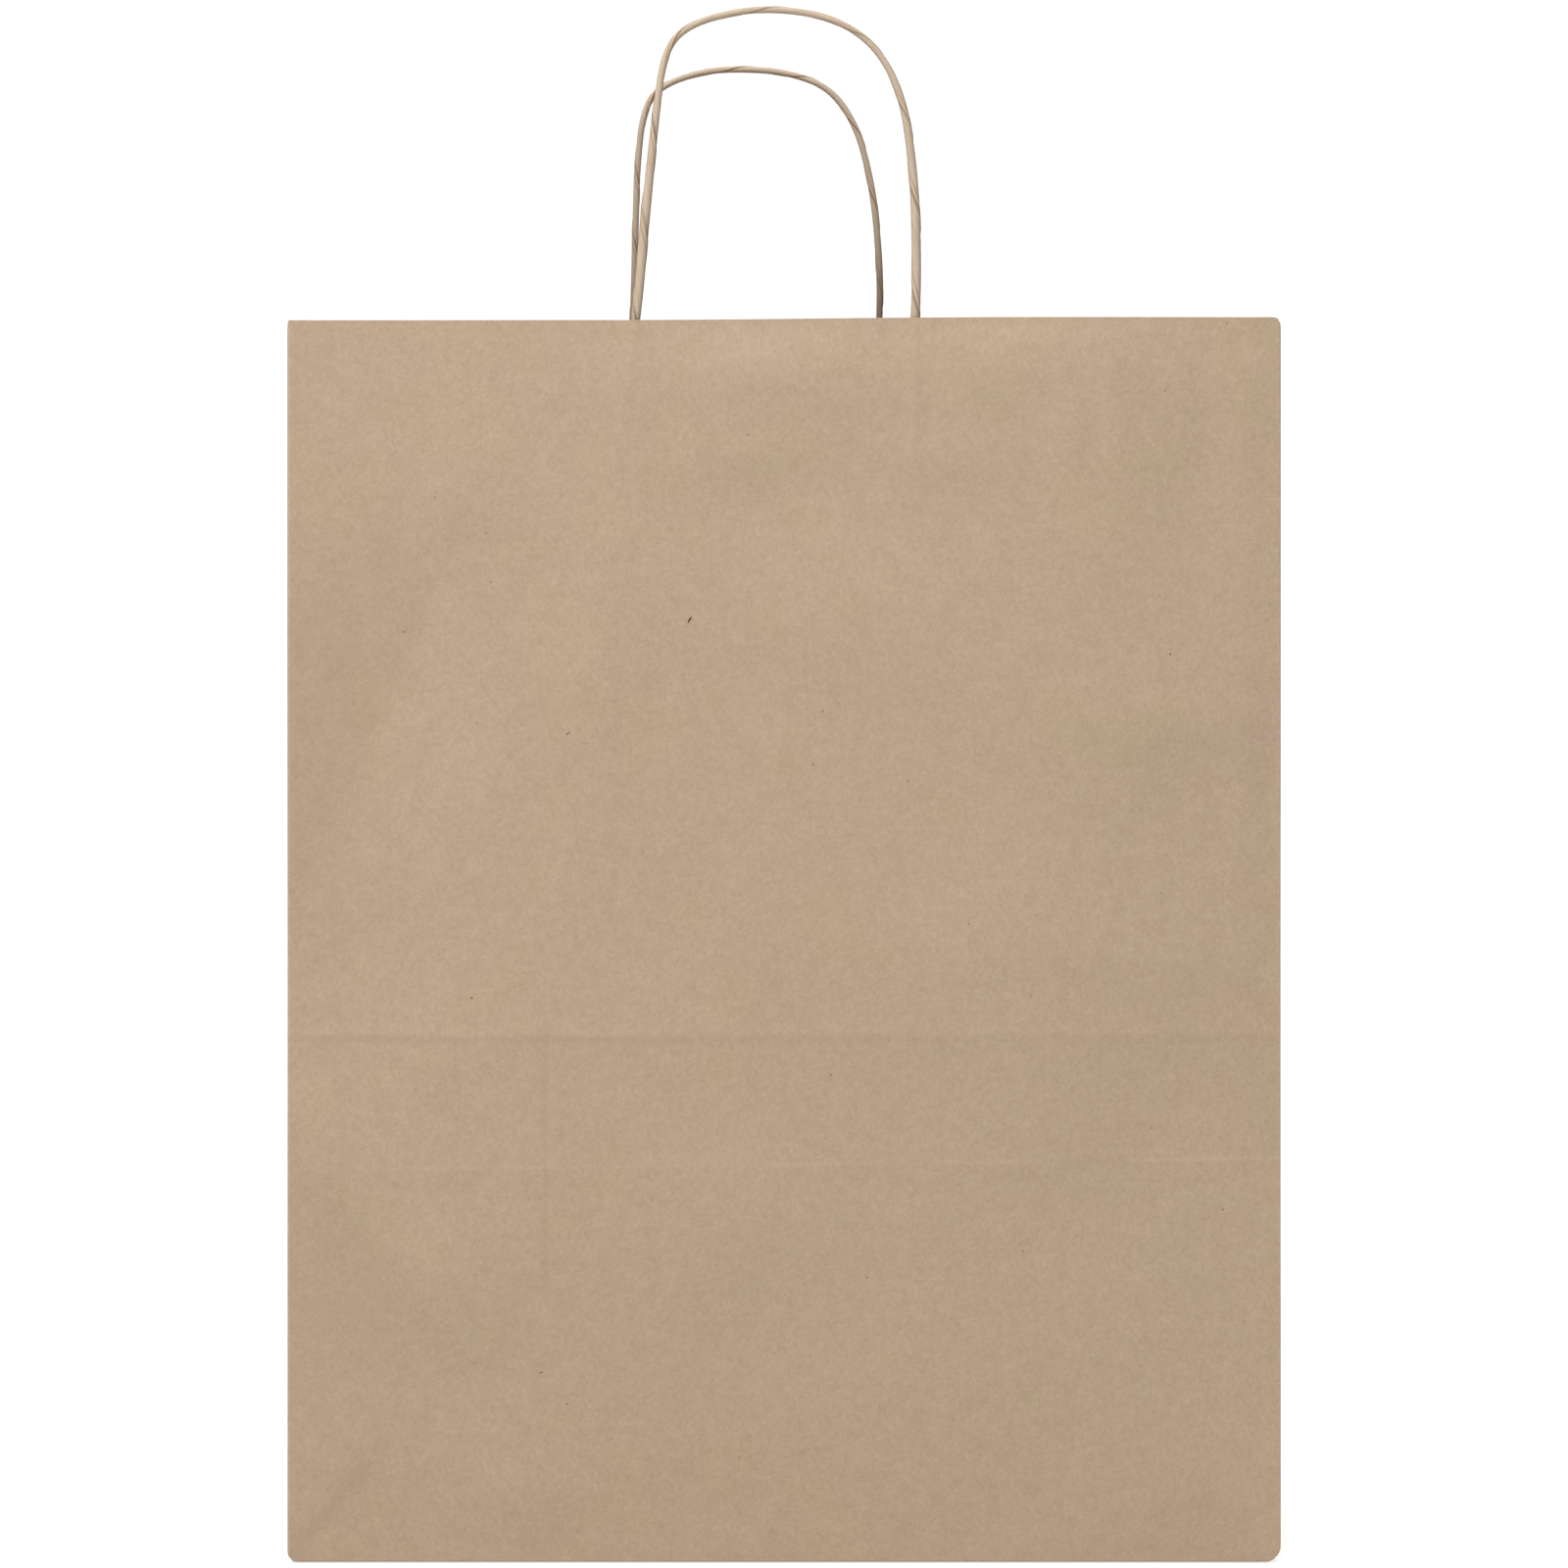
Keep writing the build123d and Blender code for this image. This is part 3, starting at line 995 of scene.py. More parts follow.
@dataclass
class Gussets:
    """The two folding sides: on each, two leaves with hems and the triangle at the foot."""

    sizes: BagSizes = SIZES
    step: float = 0.0030
    triangle_level: float = 0.00030

    def leaf(self, side: Face, end: int) -> bpy.types.Object:
        """Half of a gusset, above the slanting crease.

        Args:
            side: The left or right side.
            end: -1 for the half beside the front, 1 beside the back.

        Returns:
            The leaf.
        """
        half, height = self.sizes.half_depth, self.sizes.height
        reach, gap = CORNER_LINES
        columns = stops(0.0, half, self.step, [(0.0, 0.006, 0.0006), (half, 3 * reach, 2 * gap), (half, reach, gap)])
        rows = stops(0.0, height, self.step, [(0.0, 0.004, 0.0006), ROLL])
        return Leaf(
            f"{side.value}_gusset_{'front' if end < 0 else 'back'}_sheet",
            side,
            end * columns,
            rows,
            low=lambda y: half - np.abs(y),
            high=lambda y: height + 0.0 * y,
            rolled=1,
            wear=lambda y, z: crease_wear(half - np.abs(y))
            + crease_wear(y, 0.8)
            + crease_wear((z - half + np.abs(y)) / 1.4142, 0.6),
        ).build()

    def hem(self, side: Face, end: int) -> bpy.types.Object:
        """The turned-in strip of a gusset leaf.

        Args:
            side: The left or right side.
            end: -1 for the half beside the front, 1 beside the back.

        Returns:
            The hem.
        """
        half, height = self.sizes.half_depth, self.sizes.height
        return Leaf(
            f"{side.value}_gusset_{'front' if end < 0 else 'back'}_hem_sheet",
            side,
            end * stops(0.0002, half - 0.0015, self.step),
            stops(height - self.sizes.hem, height, 0.0025, [ROLL]),
            level=self.sizes.paper * 1.03,
            thickness=lambda y: np.minimum(0.95 * self.sizes.paper, 0.021 * (half - np.abs(y))),
            rolled=-1,
            wear=lambda y, z: 0.5 * hump(z, height - self.sizes.hem, 0.0006),
        ).build()

    def triangle(self, side: Face) -> bpy.types.Object:
        """The triangle at the foot of a gusset, which lies just inside the leaves.

        Args:
            side: The left or right side.

        Returns:
            The triangle.
        """
        half = self.sizes.half_depth
        inset = 0.0006
        top = half + 0.0006
        return Leaf(
            f"{side.value}_gusset_triangle_sheet",
            side,
            stops(-half + inset, half - inset, self.step / 2),
            stops(0.0, 1.0, 0.03, [(0.0, 0.04, 0.006)]),
            low=lambda y: 0.00025 + 0.0 * y,
            high=lambda y: np.maximum(top - np.abs(y), 0.0012),
            level=self.triangle_level,
            wear=lambda y, z: crease_wear(z, 0.7) + crease_wear((top - np.abs(y) - z) / 1.4142, 0.6),
        ).build()

    def build(self, paper: bpy.types.Material) -> None:
        """Builds both gussets and hangs them on their bodies.

        Args:
            paper: The finish of the leaves.
        """
        for side in (Face.LEFT, Face.RIGHT):
            for end, word in ((-1, "front"), (1, "back")):
                name = f"{side.value}_gusset_{word}"
                dress(self.leaf(side, end), name, name, paper)
                dress(self.hem(side, end), name, f"{name}_hem", paper)
            node = f"{side.value}_gusset_triangle"
            dress(self.triangle(side), f"{side.value}_triangle", node, paper)


@dataclass
class BlockBottom:
    """The four flaps of the flat bottom, one over the other."""

    sizes: BagSizes = SIZES
    front_length: float = 0.127
    back_length: float = 0.085
    side_length: float = 0.060
    end_gap: float = 0.0007
    step: float = 0.004

    def long_flap(self, end: int, length: float, name: str) -> bpy.types.Object:
        """The front or back flap, with slanting ends.

        Args:
            end: -1 for the flap that starts at the front, 1 for the back one.
            length: How far it reaches.
            name: Its name.

        Returns:
            The flap.
        """
        hinge = self.sizes.half_depth
        wide = self.sizes.half_width - self.end_gap
        reach, gap = CORNER_LINES
        rows = stops(0.0, length, self.step, [(0.0, reach, gap), (hinge, 0.008, 0.001)])
        share = stops(-1.0, 1.0, 0.02, [(-1.0, 0.02, 0.002), (1.0, 0.02, 0.002)])
        cut, along = np.meshgrid(share, rows)
        x = cut * (wide - along / 2)
        y = end * (hinge - along)
        ripple = 0.5 * Ripple(41 + end, 0.05, 0.00012).at(x, y) * smooth_step(along, 0.0, 0.02)
        level = np.abs(ripple) * 0.3
        if end < 0:
            level = level + self.sizes.paper * 1.1 * smooth_step(y, -0.006, -0.001)
        worn = crease_wear(along) + 0.25 * hump(np.abs(cut), 1.0, 0.004) + 0.3 * hump(along, length, 0.0008)
        return sheet(
            f"{name}_sheet",
            SHAPE.laid(Face.FLOOR, x, y, level),
            SHAPE.laid(Face.FLOOR, x, y, level + self.sizes.paper),
            worn,
            0.0 * worn,
        )

    def side_flap(self, side: int, name: str) -> bpy.types.Object:
        """The tapered flap that lies innermost.

        Args:
            side: -1 on the left, 1 on the right.
            name: Its name.

        Returns:
            The flap.
        """
        wide = self.sizes.half_depth - 0.0012
        hinge = self.sizes.half_width - 0.0012
        rows = stops(0.0, self.side_length, self.step)
        share = stops(-1.0, 1.0, 0.04)
        cut, along = np.meshgrid(share, rows)
        y = cut * (wide - along)
        x = side * (hinge - along)
        lift = np.abs(Ripple(51 + side, 0.04, 0.00015).at(x, y)) * smooth_step(along, 0.0, 0.03)
        level = self.sizes.paper * 2.15 + lift
        worn = 0.3 * hump(along, self.side_length, 0.0012)
        return sheet(
            f"{name}_sheet",
            SHAPE.laid(Face.FLOOR, x, y, level),
            SHAPE.laid(Face.FLOOR, x, y, level + self.sizes.paper),
            worn,
            0.0 * worn,
        )

    def build(self, paper: bpy.types.Material) -> None:
        """Builds the four flaps on the bottom's body.

        Args:
            paper: The finish of the flaps.
        """
        for name, made in (
            ("bottom_back_flap", self.long_flap(1, self.back_length, "bottom_back_flap")),
            ("bottom_front_flap", self.long_flap(-1, self.front_length, "bottom_front_flap")),
            ("bottom_left_flap", self.side_flap(-1, "bottom_left_flap")),
            ("bottom_right_flap", self.side_flap(1, "bottom_right_flap")),
        ):
            dress(made, "bottom", name, paper)


@dataclass
class RopeHandle:
    """One twisted-paper handle: the rope and the two glued strips that hold its ends."""

    end: Face
    route: tuple
    legs: float
    arch: float
    sizes: BagSizes = SIZES
    cord_level: float = 0.00212
    patch_length: float = 0.1905
    patch_height: float = 0.050
    patch_drop: float = 0.003
    tunnel_rise: float = 0.00322
    tunnel_reach: float = 0.0020
    pitch: float = 0.0305
    start_turn: float = 0.0
    # painted shade on the left and right legs, strongest at the mouth
    painted_leg_shade: tuple = (0.0, 0.0)
    around: int = 40
    strip_rise: float = 0.105
    lap_drop: float = 0.050
    lap_share: float = 0.16
    pleats: int = 9
    pleat_height: float = 0.007
    seed: int = 5

    @property
    def side(self) -> int:
        """-1 for the front handle, 1 for the back one."""
        return -1 if self.end is Face.FRONT else 1

    @property
    def distance(self) -> float:
        """The rope's distance from the middle of the bag, with its sign along Y."""
        return self.side * (self.sizes.half_depth - self.cord_level)

    def tails(self) -> list[tuple[tuple[float, float], tuple[float, float]]]:
        """Where each glued end of the rope lies.

        Returns:
            For each end, its top and its foot, as x and height.
        """
        top = self.sizes.height
        routes = (self.route, self.route[::-1])
        return [((p[2][0], top + p[2][1]), (p[0][0], top + p[0][1])) for p in routes]

    def patch(self, name: str, level: float, over: bool) -> bpy.types.Object:
        """One of the two paper strips; the one over the rope rises into a ridge along each end.

        Args:
            name: Its name.
            level: How far inside the wall's outer face it lies.
            over: Whether it lies over the rope.

        Returns:
            The strip.
        """
        top = self.sizes.height - self.patch_drop
        tails = self.tails()
        middle = sum(foot[0] for _, foot in tails) / 2
        fine = [(foot[0] * 0.5 + head[0] * 0.5, 0.0085, 0.0005) for head, foot in tails]
        columns = stops(middle - self.patch_length / 2, middle + self.patch_length / 2, 0.003, fine)
        rows = stops(top - self.patch_height, top, 0.002)

        def ridge(x: Points, z: Points) -> Points:
            """Height of the strip over the rope's ends.

            Args:
                x: Across the wall.
                z: Up the wall.

            Returns:
                The height at each point.
            """
            rise = 0.00004 * Ripple(self.seed + 60, 0.02, 1.0).at(x, z)
            if over:
                share = 0.0 * x
                for head, foot in tails:
                    side, _ = off_line(x, z, head, foot)
                    share = np.maximum(share, np.exp(-np.abs(side / self.tunnel_reach) ** 2.6))
                bulge = SHAPE.bulge(self.end, x, z)
                rise = np.maximum(rise, self.tunnel_rise * share) + 0.00010 + bulge * np.minimum(1.0, 2.5 * share)
            return np.maximum(rise, 0.0)

        thick = 0.9 * self.sizes.paper
        return Leaf(name, self.end, columns, rows, level=level, lift=ridge, thickness=thick).build()

    def centreline(self) -> Points:
        """The rope's smooth line, read from a spline through its route.

        Returns:
            Points along the line.
        """
        curve = bpy.data.curves.new("rope_line", "CURVE")
        curve.dimensions = "3D"
        curve.resolution_u = 22
        spline = curve.splines.new("NURBS")
        spline.points.add(len(self.route) - 1)
        for point, (x, height) in zip(spline.points, self.route):
            point.co = (x, self.distance, self.sizes.height + height, 1.0)
        spline.order_u = 3
        spline.use_endpoint_u = True
        holder = bpy.data.objects.new("rope_line", curve)
        bpy.context.scene.collection.objects.link(holder)
        bpy.context.view_layer.update()
        mesh = bpy.data.meshes.new_from_object(holder)
        line = np.array([v.co for v in mesh.vertices], float)
        bpy.data.objects.remove(holder)
        bpy.data.meshes.remove(mesh)
        keep = np.concatenate([[True], np.linalg.norm(np.diff(line, axis=0), axis=1) > 1e-6])
        return line[keep]

    def rope(self, name: str) -> tuple[bpy.types.Object, Points, float]:
        """A tube of rolled paper strip, whose free edge winds slowly round it.

        Args:
            name: Its name.

        Returns:
            The rope, the line it follows and its length.
        """
        line = self.centreline()
        runs = np.linalg.norm(np.diff(line, axis=0), axis=1)
        along = np.concatenate([[0.0], np.cumsum(runs)])
        tangent = np.gradient(line, along, axis=0)
        tangent /= np.linalg.norm(tangent, axis=1, keepdims=True)
        level = np.array([0.0, 1.0, 0.0])
        outward = np.cross(tangent, level)
        height = line[:, 2] - self.sizes.height
        radius = self.legs + (self.arch - self.legs) * smooth_step(height, 0.030, 0.092)
        radius = np.minimum(radius, 0.00150 + 0.01 * smooth_step(height, -0.004, 0.004))
        k = np.arange(self.around)
        turn = 2 * math.pi * k / self.around
        wander = 0.3 * Ripple(self.seed + 2, 0.060, 1.0, 6).at(along, 0.0 * along)
        spiral = 2 * math.pi * along / self.pitch + wander + self.start_turn
        step = self.strip_rise * (0.5 - k / (self.around - 1)) - self.lap_drop * (k > self.lap_share * self.around)
        angle = turn[None, :] + spiral[:, None]
        squeeze = Ripple(self.seed, 0.026, 0.022).at(along[:, None], 0.004 * np.cos(angle))
        pleat = self.pleat_height * np.sin(self.pleats * turn[None, :] + 40 * along[:, None])
        scale = 1.025 + step[None, :] + squeeze + pleat
        ring = radius[:, None] * scale
        points = (
            line[:, None, :]
            + ring[..., None] * np.cos(angle)[..., None] * outward[:, None, :]
            + ring[..., None] * np.sin(angle)[..., None] * level[None, None, :]
        )
        rows = len(line)
        faces: list = grid_faces(rows, self.around, 0, wrap=True)
        vertices = points.reshape(-1, 3)
        vertices = np.concatenate([vertices, line[:1], line[-1:]])
        first, last = rows * self.around, rows * self.around + 1
        for c in range(self.around):
            n = (c + 1) % self.around
            faces.append((c, n, first))
            faces.append(((rows - 1) * self.around + c, (rows - 1) * self.around + n, last))
        # painted shade: the legs darken towards the mouth
        painted_shade = np.where(line[:, 0] < line[:, 0].mean(), self.painted_leg_shade[0], self.painted_leg_shade[1])
        painted_shade = painted_shade * (1 - smooth_step(height, 0.004, 0.050)) + 0.20 * painted_shade * (1 - smooth_step(height, 0.05, 0.09))
        marks = {
            "along": np.append(np.repeat(along, self.around), [0.0, along[-1]]),
            "around": np.append(np.tile(k / self.around, rows), [0.5, 0.5]),
            "shade": np.append(np.repeat(painted_shade, self.around), [0.0, 0.0]),
        }
        return make_object(name, vertices, faces, marks), line, float(along[-1])

    def build(self, patch_paper: bpy.types.Material, rope_paper: bpy.types.Material) -> None:
        """Builds the handle and its patches.

        Args:
            patch_paper: The finish of the strips.
            rope_paper: The finish of the rope.
        """
        word = self.end.value
        wall = f"{word}_wall"
        base = self.patch(f"{word}_patch_base_sheet", 0.00043, False)
        dress(base, wall, f"{word}_patch_base", patch_paper)
        cover = self.patch(f"{word}_patch_cover_sheet", 0.00062, True)
        dress(cover, wall, f"{word}_patch_cover", patch_paper)
        rope, line, length = self.rope(f"{word}_rope")
        rope.data.materials.append(rope_paper)
        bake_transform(rope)
        nodes = [f"{word}_handle_loop", f"{word}_handle_left_tail", f"{word}_handle_right_tail"]
        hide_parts(*nodes)
        LOG.info("%s rope is %.4f m long", word, length)


class Wiring:
    """Adds and joins nodes in a material or a node group."""

    def __init__(self, tree: bpy.types.NodeTree) -> None:
        """Keeps the tree that the nodes go into."""
        self.tree = tree

    def add(self, kind: str, inputs: dict | None = None, **settings: object) -> bpy.types.Node:
        """Adds a node.

        Args:
            kind: The node's type.
            inputs: For each input, a socket to join to it or a value.
            settings: The node's own properties.

        Returns:
            The node.
        """
        node = self.tree.nodes.new(kind)
        for name, value in settings.items():
            setattr(node, name, value)
        for name, value in (inputs or {}).items():
            socket = node.inputs[name]
            if isinstance(value, bpy.types.NodeSocket):
                self.tree.links.new(value, socket)
            else:
                socket.default_value = value
        return node

    def math(self, operation: str, *values: object, clamp: bool = False) -> bpy.types.NodeSocket:
        """A Math node's result."""
        node = self.add("ShaderNodeMath", dict(enumerate(values)), operation=operation, use_clamp=clamp)
        return node.outputs[0]

    def noise(self, vector: Link, scale: float, detail: float = 4.0, rough: float = 0.55) -> bpy.types.NodeSocket:
        """A noise texture's value."""
        inputs = {"Vector": vector, "Scale": scale, "Detail": detail, "Roughness": rough}
        return self.add("ShaderNodeTexNoise", inputs).outputs["Fac"]

    def span(self, value: Link, low: float, high: float, to_low: float = 0.0, to_high: float = 1.0) -> Link:
        """A value moved from one range to another.

        Args:
            value: The value's socket.
            low: Start of its range.
            high: End of its range.
            to_low: Start of the new range.
            to_high: End of the new range.

        Returns:
            The new value's socket.
        """
        names = ("From Min", "From Max", "To Min", "To Max")
        inputs = {"Value": value, **dict(zip(names, (low, high, to_low, to_high)))}
        return self.add("ShaderNodeMapRange", inputs).outputs["Result"]

    def blend(self, share: Link, first: object, second: object, mode: str = "MIX") -> bpy.types.NodeSocket:
        """Two colours mixed.

        Args:
            share: The share of the second colour.
            first: The first colour.
            second: The second colour.
            mode: How they are mixed.

        Returns:
            The mixed colour's socket.
        """
        node = self.tree.nodes.new("ShaderNodeMix")
        node.data_type = "RGBA"
        node.blend_type = mode
        for socket, value in ((node.inputs[0], share), (node.inputs[6], first), (node.inputs[7], second)):
            if isinstance(value, bpy.types.NodeSocket):
                self.tree.links.new(value, socket)
            else:
                socket.default_value = value
        return node.outputs[2]


def node_group(name: str, inputs: dict[str, tuple[str, object]], outputs: dict[str, str]) -> tuple:
    """An empty shader node group with named sockets.

    Args:
        name: The group's name.
        inputs: For each input, its socket type and value.
        outputs: For each output, its socket type.

    Returns:
        The group, its wiring, its input node's sockets and its output node.
    """
    tree = bpy.data.node_groups.new(name, "ShaderNodeTree")
    for label, (kind, value) in inputs.items():
        socket = tree.interface.new_socket(label, in_out="INPUT", socket_type=kind)
        if value is not None:
            socket.default_value = value
    for label, kind in outputs.items():
        tree.interface.new_socket(label, in_out="OUTPUT", socket_type=kind)
    wires = Wiring(tree)
    return tree, wires, wires.add("NodeGroupInput").outputs, wires.add("NodeGroupOutput")


FLOAT, VECTOR = "NodeSocketFloat", "NodeSocketVector"


def lying(w: Wiring, where: Link, place: tuple, turn: tuple, size: tuple) -> bpy.types.NodeSocket:
    """Coordinates of a small patch that has been moved, turned and then stretched to a size.

    Args:
        w: The tree's wiring.
        where: The coordinates to start from.
        place: The patch's middle.
        turn: Its rotation in degrees.
        size: Its size along its own axes.

    Returns:
        The patch's own coordinates, in which it reaches from -1 to 1.
    """
    inputs = {"Vector": where, "Location": place, "Rotation": tuple(map(math.radians, turn)), "Scale": size}
    return w.add("ShaderNodeMapping", inputs, vector_type="TEXTURE").outputs[0]


def fibre_group() -> bpy.types.NodeTree:
    """The look of pulp: cloudy formation, fine fibres lying every way, and scattered dark shives.

    Returns:
        The node group.
    """
    tree, w, given, out = node_group(
        "paper_fibres",
        {"Vector": (VECTOR, None), "Cloud Size": (FLOAT, 150.0), "Shives": (FLOAT, 1.0)},
        {"Clouds": FLOAT, "Fibres": FLOAT, "Shives": FLOAT, "Hue": FLOAT, "Height": FLOAT},
    )
    where = given["Vector"]
    clouds = w.add(
        "ShaderNodeTexNoise", {"Vector": where, "Scale": given["Cloud Size"], "Detail": 6.0, "Roughness": 0.66}
    ).outputs["Fac"]
    layers = []
    for turn, place in (((12, 8, 25), 0.0), ((48, 62, -30), 3.0), ((-35, 115, 70), 7.0), ((75, 150, 15), 11.0)):
        strand = lying(w, where, (place, place, place), turn, (4.5, 1.0, 1.0))
        layers.append(w.noise(strand, 1150.0, 2.0, 0.6))
    pairs = w.math("ADD", layers[0], layers[1]), w.math("ADD", layers[2], layers[3])
    fibres = w.math("MULTIPLY", w.math("ADD", *pairs), 0.25)
    marks = []
    for cell, size, turn, strength in (
        (72.0, 0.026, (20, 35, 50), 0.75),
        (240.0, 0.040, (70, 110, -20), 0.50),
        (300.0, 0.055, (-40, 10, 130), 0.28),
    ):
        grain = lying(w, where, (turn[0] * 0.01, 0.0, 0.3), turn, (1.9, 1.0, 1.0))
        cells = w.add("ShaderNodeTexVoronoi", {"Vector": grain, "Scale": cell}).outputs["Distance"]
        marks.append(w.math("MULTIPLY", w.span(cells, size, size * 0.55), strength))
    shives = w.math("MAXIMUM", w.math("MAXIMUM", marks[0], marks[1]), marks[2])
    shives = w.math("MULTIPLY", shives, given["Shives"], clamp=True)
    hue = w.span(w.noise(lying(w, where, (5.0, 2.0, 9.0), (0, 0, 0), (1.0, 1.0, 1.0)), 24.0, 3.0, 0.6), 0.34, 0.66)
    height = w.math("ADD", w.math("MULTIPLY", fibres, 0.6), w.math("MULTIPLY", clouds, 0.4))
    results = {"Clouds": clouds, "Fibres": fibres, "Shives": shives, "Hue": hue, "Height": height}
    for label, value in results.items():
        w.tree.links.new(value, out.inputs[label])
    return tree


def wear_group() -> bpy.types.NodeTree:
    """Broken, scuffed fibres along a crease, patchy as they really are.

    Returns:
        The node group.
    """
    tree, w, given, out = node_group(
        "crease_wear", {"Vector": (VECTOR, None), "Wear": (FLOAT, 0.0)}, {"Mask": FLOAT}
    )
    patchy = w.span(w.noise(given["Vector"], 900.0, 3.0, 0.6), 0.35, 0.65, 0.25, 1.0)
    patchy = w.math("MULTIPLY", patchy, w.span(w.noise(given["Vector"], 45.0, 2.0), 0.3, 0.7, 0.45, 1.0))
    w.tree.links.new(w.math("MULTIPLY", patchy, given["Wear"], clamp=True), out.inputs["Mask"])
    return tree


@dataclass(frozen=True)
class Fleck:
    """One dark splinter of bark in the front panel."""

    x: float
    z: float
    length: float
    width: float
    turn: float
    strength: float = 0.8


FRONT_FLECKS = (
    Fleck(-0.0303, 0.3035, 0.00145, 0.00042, -62.0, 1.0),
    Fleck(-0.0695, 0.2669, 0.00095, 0.00024, -45.0, 0.9),
    Fleck(-0.1005, 0.1817, 0.00050, 0.00042, 10.0),
    Fleck(-0.1226, 0.2994, 0.00044, 0.00034, 30.0),
    Fleck(0.1242, 0.2924, 0.00040, 0.00034, 0.0, 0.9),
    Fleck(-0.0989, 0.2700, 0.00048, 0.00024, 65.0, 0.6),
    Fleck(0.0398, 0.2517, 0.00042, 0.00030, 80.0, 0.7),
    Fleck(-0.0781, 0.0612, 0.00050, 0.00034, -30.0),
    Fleck(-0.0698, 0.0511, 0.00055, 0.00026, 15.0, 0.7),
    Fleck(0.1413, 0.1136, 0.00038, 0.00034, 0.0),
    Fleck(0.0594, 0.2057, 0.00040, 0.00028, 50.0, 0.7),
)


def fleck_group() -> bpy.types.NodeTree:
    """One ragged-edged splinter in its own stretched coordinates.

    Returns:
        The node group.
    """
    inputs = {"Vector": (VECTOR, None), "Strength": (FLOAT, 1.0)}
    tree, w, given, out = node_group("bark_fleck", inputs, {"Mask": FLOAT})
    reach = w.add("ShaderNodeVectorMath", {0: given["Vector"]}, operation="LENGTH").outputs["Value"]
    ragged = w.math("ADD", reach, w.span(w.noise(given["Vector"], 1.6, 2.0), 0.2, 0.8, -0.25, 0.25))
    w.tree.links.new(w.math("MULTIPLY", w.span(ragged, 1.0, 0.65), given["Strength"]), out.inputs["Mask"])
    return tree


@dataclass(frozen=True)
class KraftPaper:
    """Uncoated brown kraft: mottled, fibrous and matt."""

    name: str
    base: tuple
    dark: tuple
    light: tuple
    shive: tuple = (0.085, 0.050, 0.028, 1.0)
    # the colour of painted shade, mixed in by the shade attribute
    painted_shade: tuple = (0.270, 0.185, 0.120, 1.0)
    shives: float = 1.0
    roughness: float = 0.86
    relief: float = 0.00006
    flecks: tuple = ()

    def make(self, groups: dict[str, bpy.types.NodeTree]) -> bpy.types.Material:
        """Makes the material.

        Args:
            groups: The shared node groups, by name.

        Returns:
            The material.
        """
        material = bpy.data.materials.new(self.name)
        material.use_nodes = True
        w = Wiring(material.node_tree)
        shader = material.node_tree.nodes["Principled BSDF"]
        where = w.add("ShaderNodeTexCoord").outputs["Object"]
        pulp = w.add("ShaderNodeGroup", {"Vector": where, "Shives": self.shives}, node_tree=groups["fibres"])
        worn = w.add("ShaderNodeAttribute", attribute_name="wear").outputs["Fac"]
        mask = w.add("ShaderNodeGroup", {"Vector": where, "Wear": worn}, node_tree=groups["wear"]).outputs["Mask"]
        broad = w.noise(where, 14.0, 4.0, 0.55)
        colour = w.blend(w.span(broad, 0.30, 0.70), self.dark, self.light)
        colour = w.blend(0.74, colour, self.base)
        clouds = w.blend(w.span(pulp.outputs["Clouds"], 0.28, 0.72), self.dark, self.light)
        colour = w.blend(0.51, colour, clouds)
        threads = w.blend(w.span(pulp.outputs["Fibres"], 0.38, 0.62), self.dark, self.light)
        colour = w.blend(0.52, colour, threads)
        tint = w.blend(pulp.outputs["Hue"], (0.993, 1.008, 0.972, 1.0), (1.008, 0.992, 1.028, 1.0))
        colour = w.blend(1.0, colour, tint, "MULTIPLY")
        spots = w.math("MULTIPLY", pulp.outputs["Shives"], 0.85)
        for fleck in self.flecks:
            place, size = (fleck.x, -SIZES.half_depth, fleck.z), (fleck.length, 0.02, fleck.width)
            own = lying(w, where, place, (0.0, fleck.turn, 0.0), size)
            spot = w.add("ShaderNodeGroup", {"Vector": own, "Strength": fleck.strength}, node_tree=groups["fleck"])
            spots = w.math("MAXIMUM", spots, spot.outputs["Mask"])
        colour = w.blend(spots, colour, self.shive)
        # painted shade: the shade attribute darkens the colour towards the painted-shade colour
        painted_shade_share = w.add("ShaderNodeAttribute", attribute_name="shade").outputs["Fac"]
        colour = w.blend(w.math("MULTIPLY", painted_shade_share, 0.50), colour, self.painted_shade)
        pale = tuple(min(1.0, 1.20 * c) for c in self.light[:3]) + (1.0,)
        colour = w.blend(w.math("MULTIPLY", mask, 0.60), colour, pale)
        w.tree.links.new(colour, shader.inputs["Base Color"])
        rough = w.span(pulp.outputs["Fibres"], 0.3, 0.7, self.roughness - 0.05, self.roughness + 0.05)
        w.tree.links.new(rough, shader.inputs["Roughness"])
        shader.inputs["Specular IOR Level"].default_value = 0.32
        bump = w.add(
            "ShaderNodeBump", {"Strength": 0.35, "Distance": self.relief, "Height": pulp.outputs["Height"]}
        ).outputs["Normal"]
        w.tree.links.new(bump, shader.inputs["Normal"])
        return material


